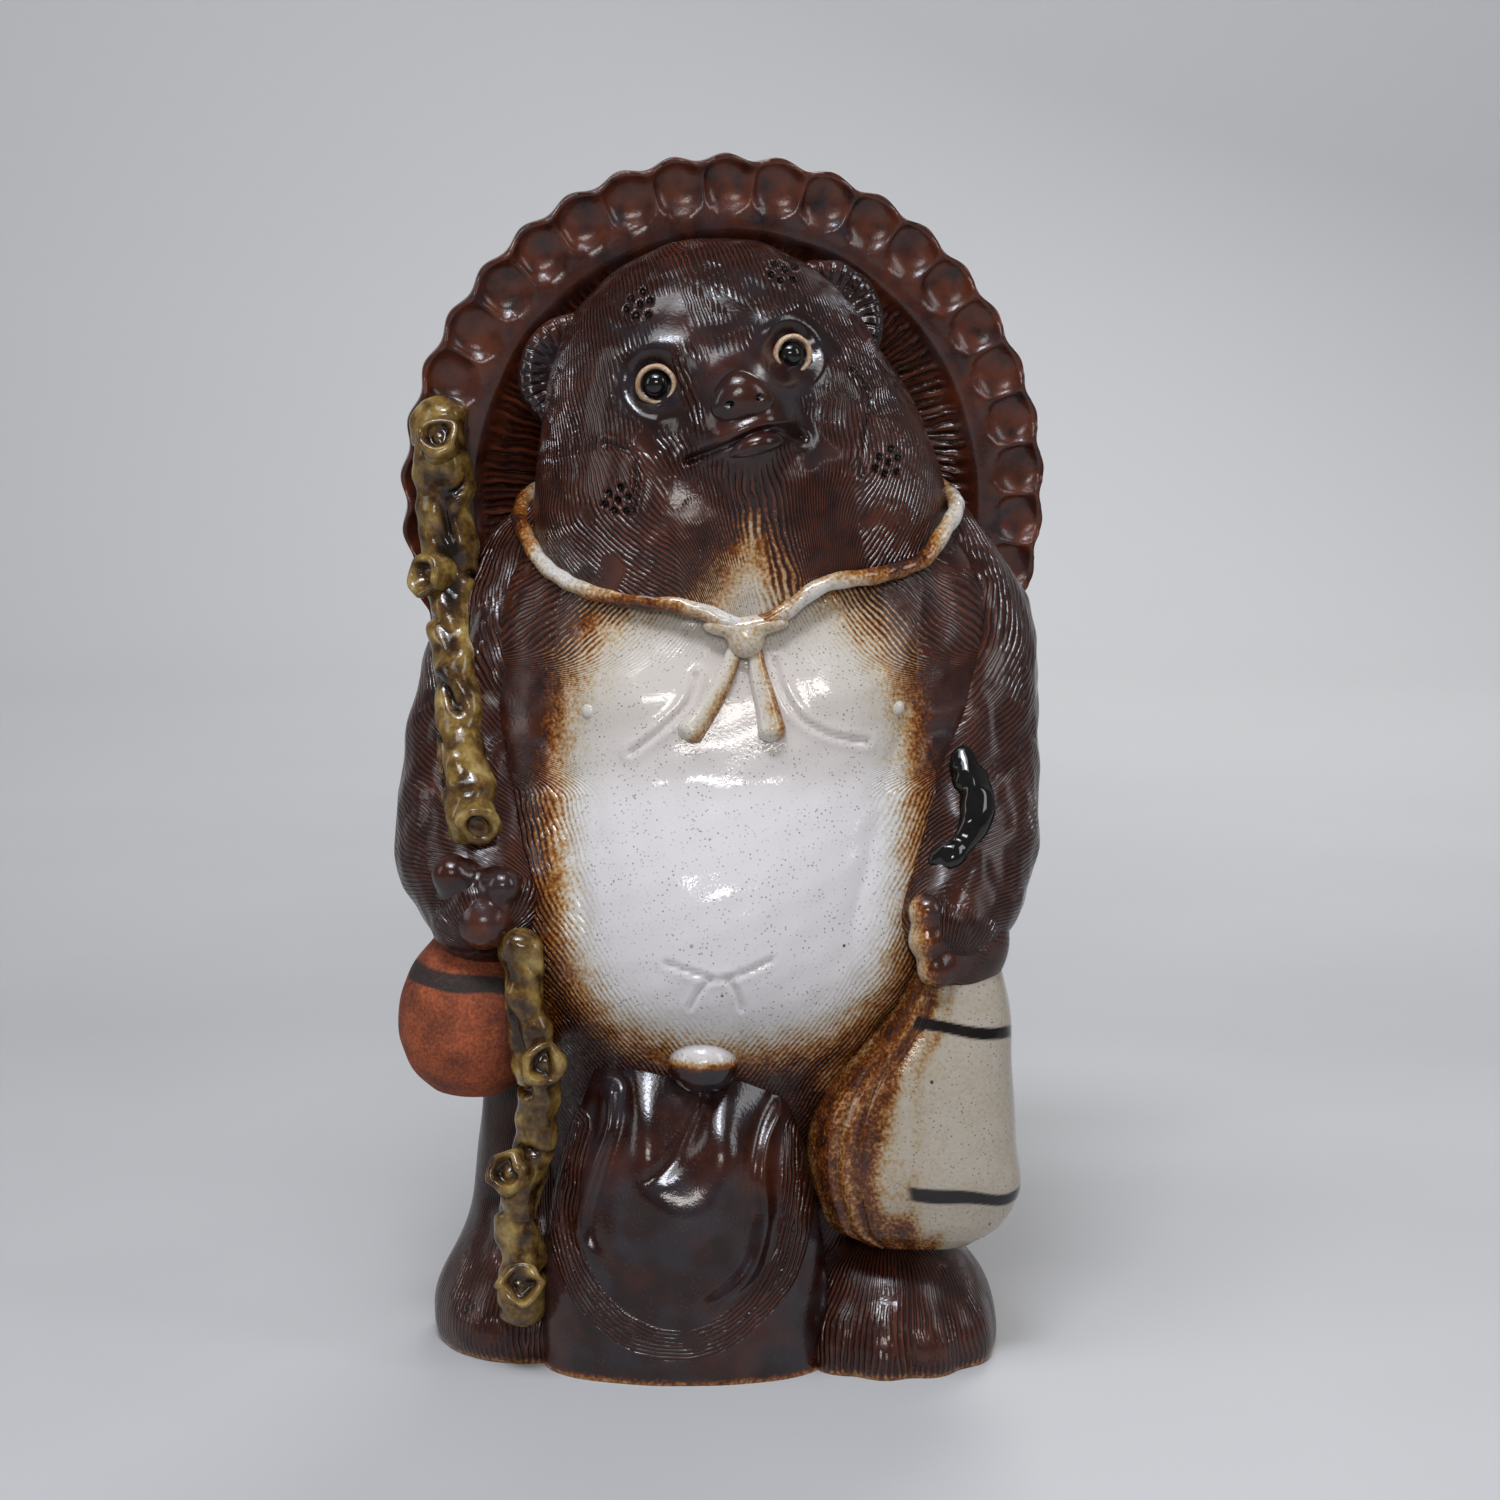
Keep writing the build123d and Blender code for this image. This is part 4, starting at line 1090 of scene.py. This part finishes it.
def buildStaff():
    # two knobbled rolls, and cut shoots as hollow-ended profiles turned about the way they grow
    for name in ("upper", "lower"):
        grid, s, spin = rollGrid(staff[name], 240, 110)
        # lumps, and creases where the wobble changes sign
        crease = np.exp(-(handWobble(grid, 27, 101) / 0.17) ** 2)
        crease = crease * smoothStep(-0.5, 0.4, handWobble(grid, 26, 103))
        knobble = 1.3 * handWobble(grid, 24, 100) + 0.9 * handWobble(grid, 12, 102) - 2.2 * crease
        # pool here is painted shade in the creases
        clayPiece(f"staff{name.title()}", lifted(grid, knobble), ash, "staff_glaze", [f"staff_{name}"],
                  pool=0.9 * crease)
    profile = drawnLine(staff["stub"], 48)
    # painted shade in the hollow cut end of each shoot
    hollow = np.exp(-((profile[:, :1] - 3.2) / 1.2) ** 2) * (profile[:, 1:] > 0)
    for number, (place, way) in enumerate(staff["stubs"]):
        grid, spin = turnedGrid(profile, 60, place, way)
        grid = grid + 0.9 * handWobble(grid, 10, 110 + number)[..., None]
        clayPiece(f"staffStub{number + 1}", grid, ash, "staff_glaze", ["staff_stubs"], pool=0.6 * hollow)


buildFlask()
buildBook()
buildStaff()
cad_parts["base_slab"].data.materials.clear()
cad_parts["base_slab"].data.materials.append(redClay)
print("flask, book and staff done")


# floor, light and camera

studio = {
    "floorStops": [(0.3, "#b3b3b4"), (0.7, "#bbbbbc")], "floorCloud": 300.0, "wall": "#f4f4f4",
    "nearEdge": -3000.0, "wallAt": 2400.0, "wallTop": 3000.0, "bend": 700.0, "halfWidth": 4000.0,
    "air": "#c9cbd0", "airStrength": 0.29,
    "cameraTilt": 9.0, "lens": 73.3, "aim": (11.9, 0.0, 207.0), "away": 1100.0,
    "lamps": [  # name, place, size, power, aim, tint; metres and watts
        ("softboxTop", (-0.2, -0.7, 1.7), (1.2, 0.7), 12.5, (0, 0, 0.25), "#fbfcff"),
        ("skylight", (-0.15, -0.85, 1.6), (0.42, 0.24), 11.0, (0, 0, 0.2), "#e9f1ff"),
        ("window", (0.0, -1.9, 0.92), (0.62, 0.26), 8.0, (0, 0, 0.2), "#fffaf6"),
        ("softboxBack", (0.5, 1.6, 1.5), (0.9, 0.9), 14.0, (0, 0, 0.2), "#ffffff"),
        ("softboxLeft", (-1.5, -0.5, 0.8), (0.4, 0.9), 2.6, (0, 0, 0.2), "#ffffff"),
        ("softboxRight", (1.4, -0.7, 1.0), (0.4, 0.9), 5.0, (0, 0, 0.2), "#fafcff")],
}


def floorPaint():
    # matt grey paint on a board: faintly cloudy, and paler towards the wall, where the pale colour is painted
    # light
    material, node, shader, place = newMaterial("paintedFloor")
    cloud = node("TexNoise", by={"Vector": place, "Scale": 1 / (studio["floorCloud"] * mm), "Detail": 3.0})
    grey = node("ValToRGB", cloud, stops=studio["floorStops"])
    # the wall's paler colour is painted light standing in for lamplight on the wall
    back = node("MapRange", node("SeparateXYZ", place, out="Y"), 0.4, 2.3)
    paint = node("Mix", by={0: back, 6: grey, 7: linearColour(studio["wall"])}, **layered)
    setSockets(shader, {"Base Color": paint, "Roughness": 0.6})
    return material


def buildFloor():
    # a flat sheet that bends up into the wall along a quarter circle
    sweep, bend = np.linspace(0, np.pi / 2, 24), studio["bend"]
    deep = [studio["nearEdge"], *(studio["wallAt"] - bend + bend * np.sin(sweep)), studio["wallAt"]]
    tall = [0.0, *(bend - bend * np.cos(sweep)), studio["wallTop"]]
    points = np.concatenate([xyz(side * studio["halfWidth"], deep, tall) for side, name in sides]) * mm
    count = len(deep)
    faces = [(count + i + 1, count + i, i, i + 1) for i in range(count - 1)]
    mesh = bpy.data.meshes.new("floor")
    mesh.from_pydata(points, [], faces, shade_flat=False)
    mesh.materials.append(floorPaint())
    floor = bpy.data.objects.new("floor", mesh)
    bpy.context.collection.objects.link(floor)


def buildLights():
    # area lamps, each turned from its place to its aim, and an even pale air
    for name, at, size, power, aim, tint in studio["lamps"]:
        lamp = bpy.data.lights.new(name, "AREA")
        lamp.shape, lamp.size, lamp.size_y, lamp.energy = "RECTANGLE", *size, power
        lamp.color = linearColour(tint)[:3]
        light = bpy.data.objects.new(name, lamp)
        light.rotation_euler = (Vector(aim) - Vector(at)).to_track_quat("-Z", "Y").to_euler()
        light.location = at
        bpy.context.collection.objects.link(light)
    world = bpy.data.worlds.new("studioAir")
    world.use_nodes = True
    setSockets(world.node_tree.nodes["Background"],
               {"Color": linearColour(studio["air"]), "Strength": studio["airStrength"]})
    bpy.context.scene.world = world


def buildCamera():
    # the photograph's view: back from the aim and up by the tilt
    camera = bpy.data.cameras.new("photoCamera")
    camera.lens, camera.sensor_width = studio["lens"], 36.0
    eye = bpy.data.objects.new("photoCamera", camera)
    tilt = np.radians(studio["cameraTilt"])
    back = studio["away"] * np.array([0, -np.cos(tilt), np.sin(tilt)])
    eye.location = (np.array(studio["aim"]) + back) * mm
    eye.rotation_euler = (np.pi / 2 - tilt, 0, 0)
    bpy.context.collection.objects.link(eye)
    bpy.context.scene.camera = eye
    bpy.context.scene.view_settings.view_transform = "Standard"


buildFloor()
buildLights()
buildCamera()
print("studio done")
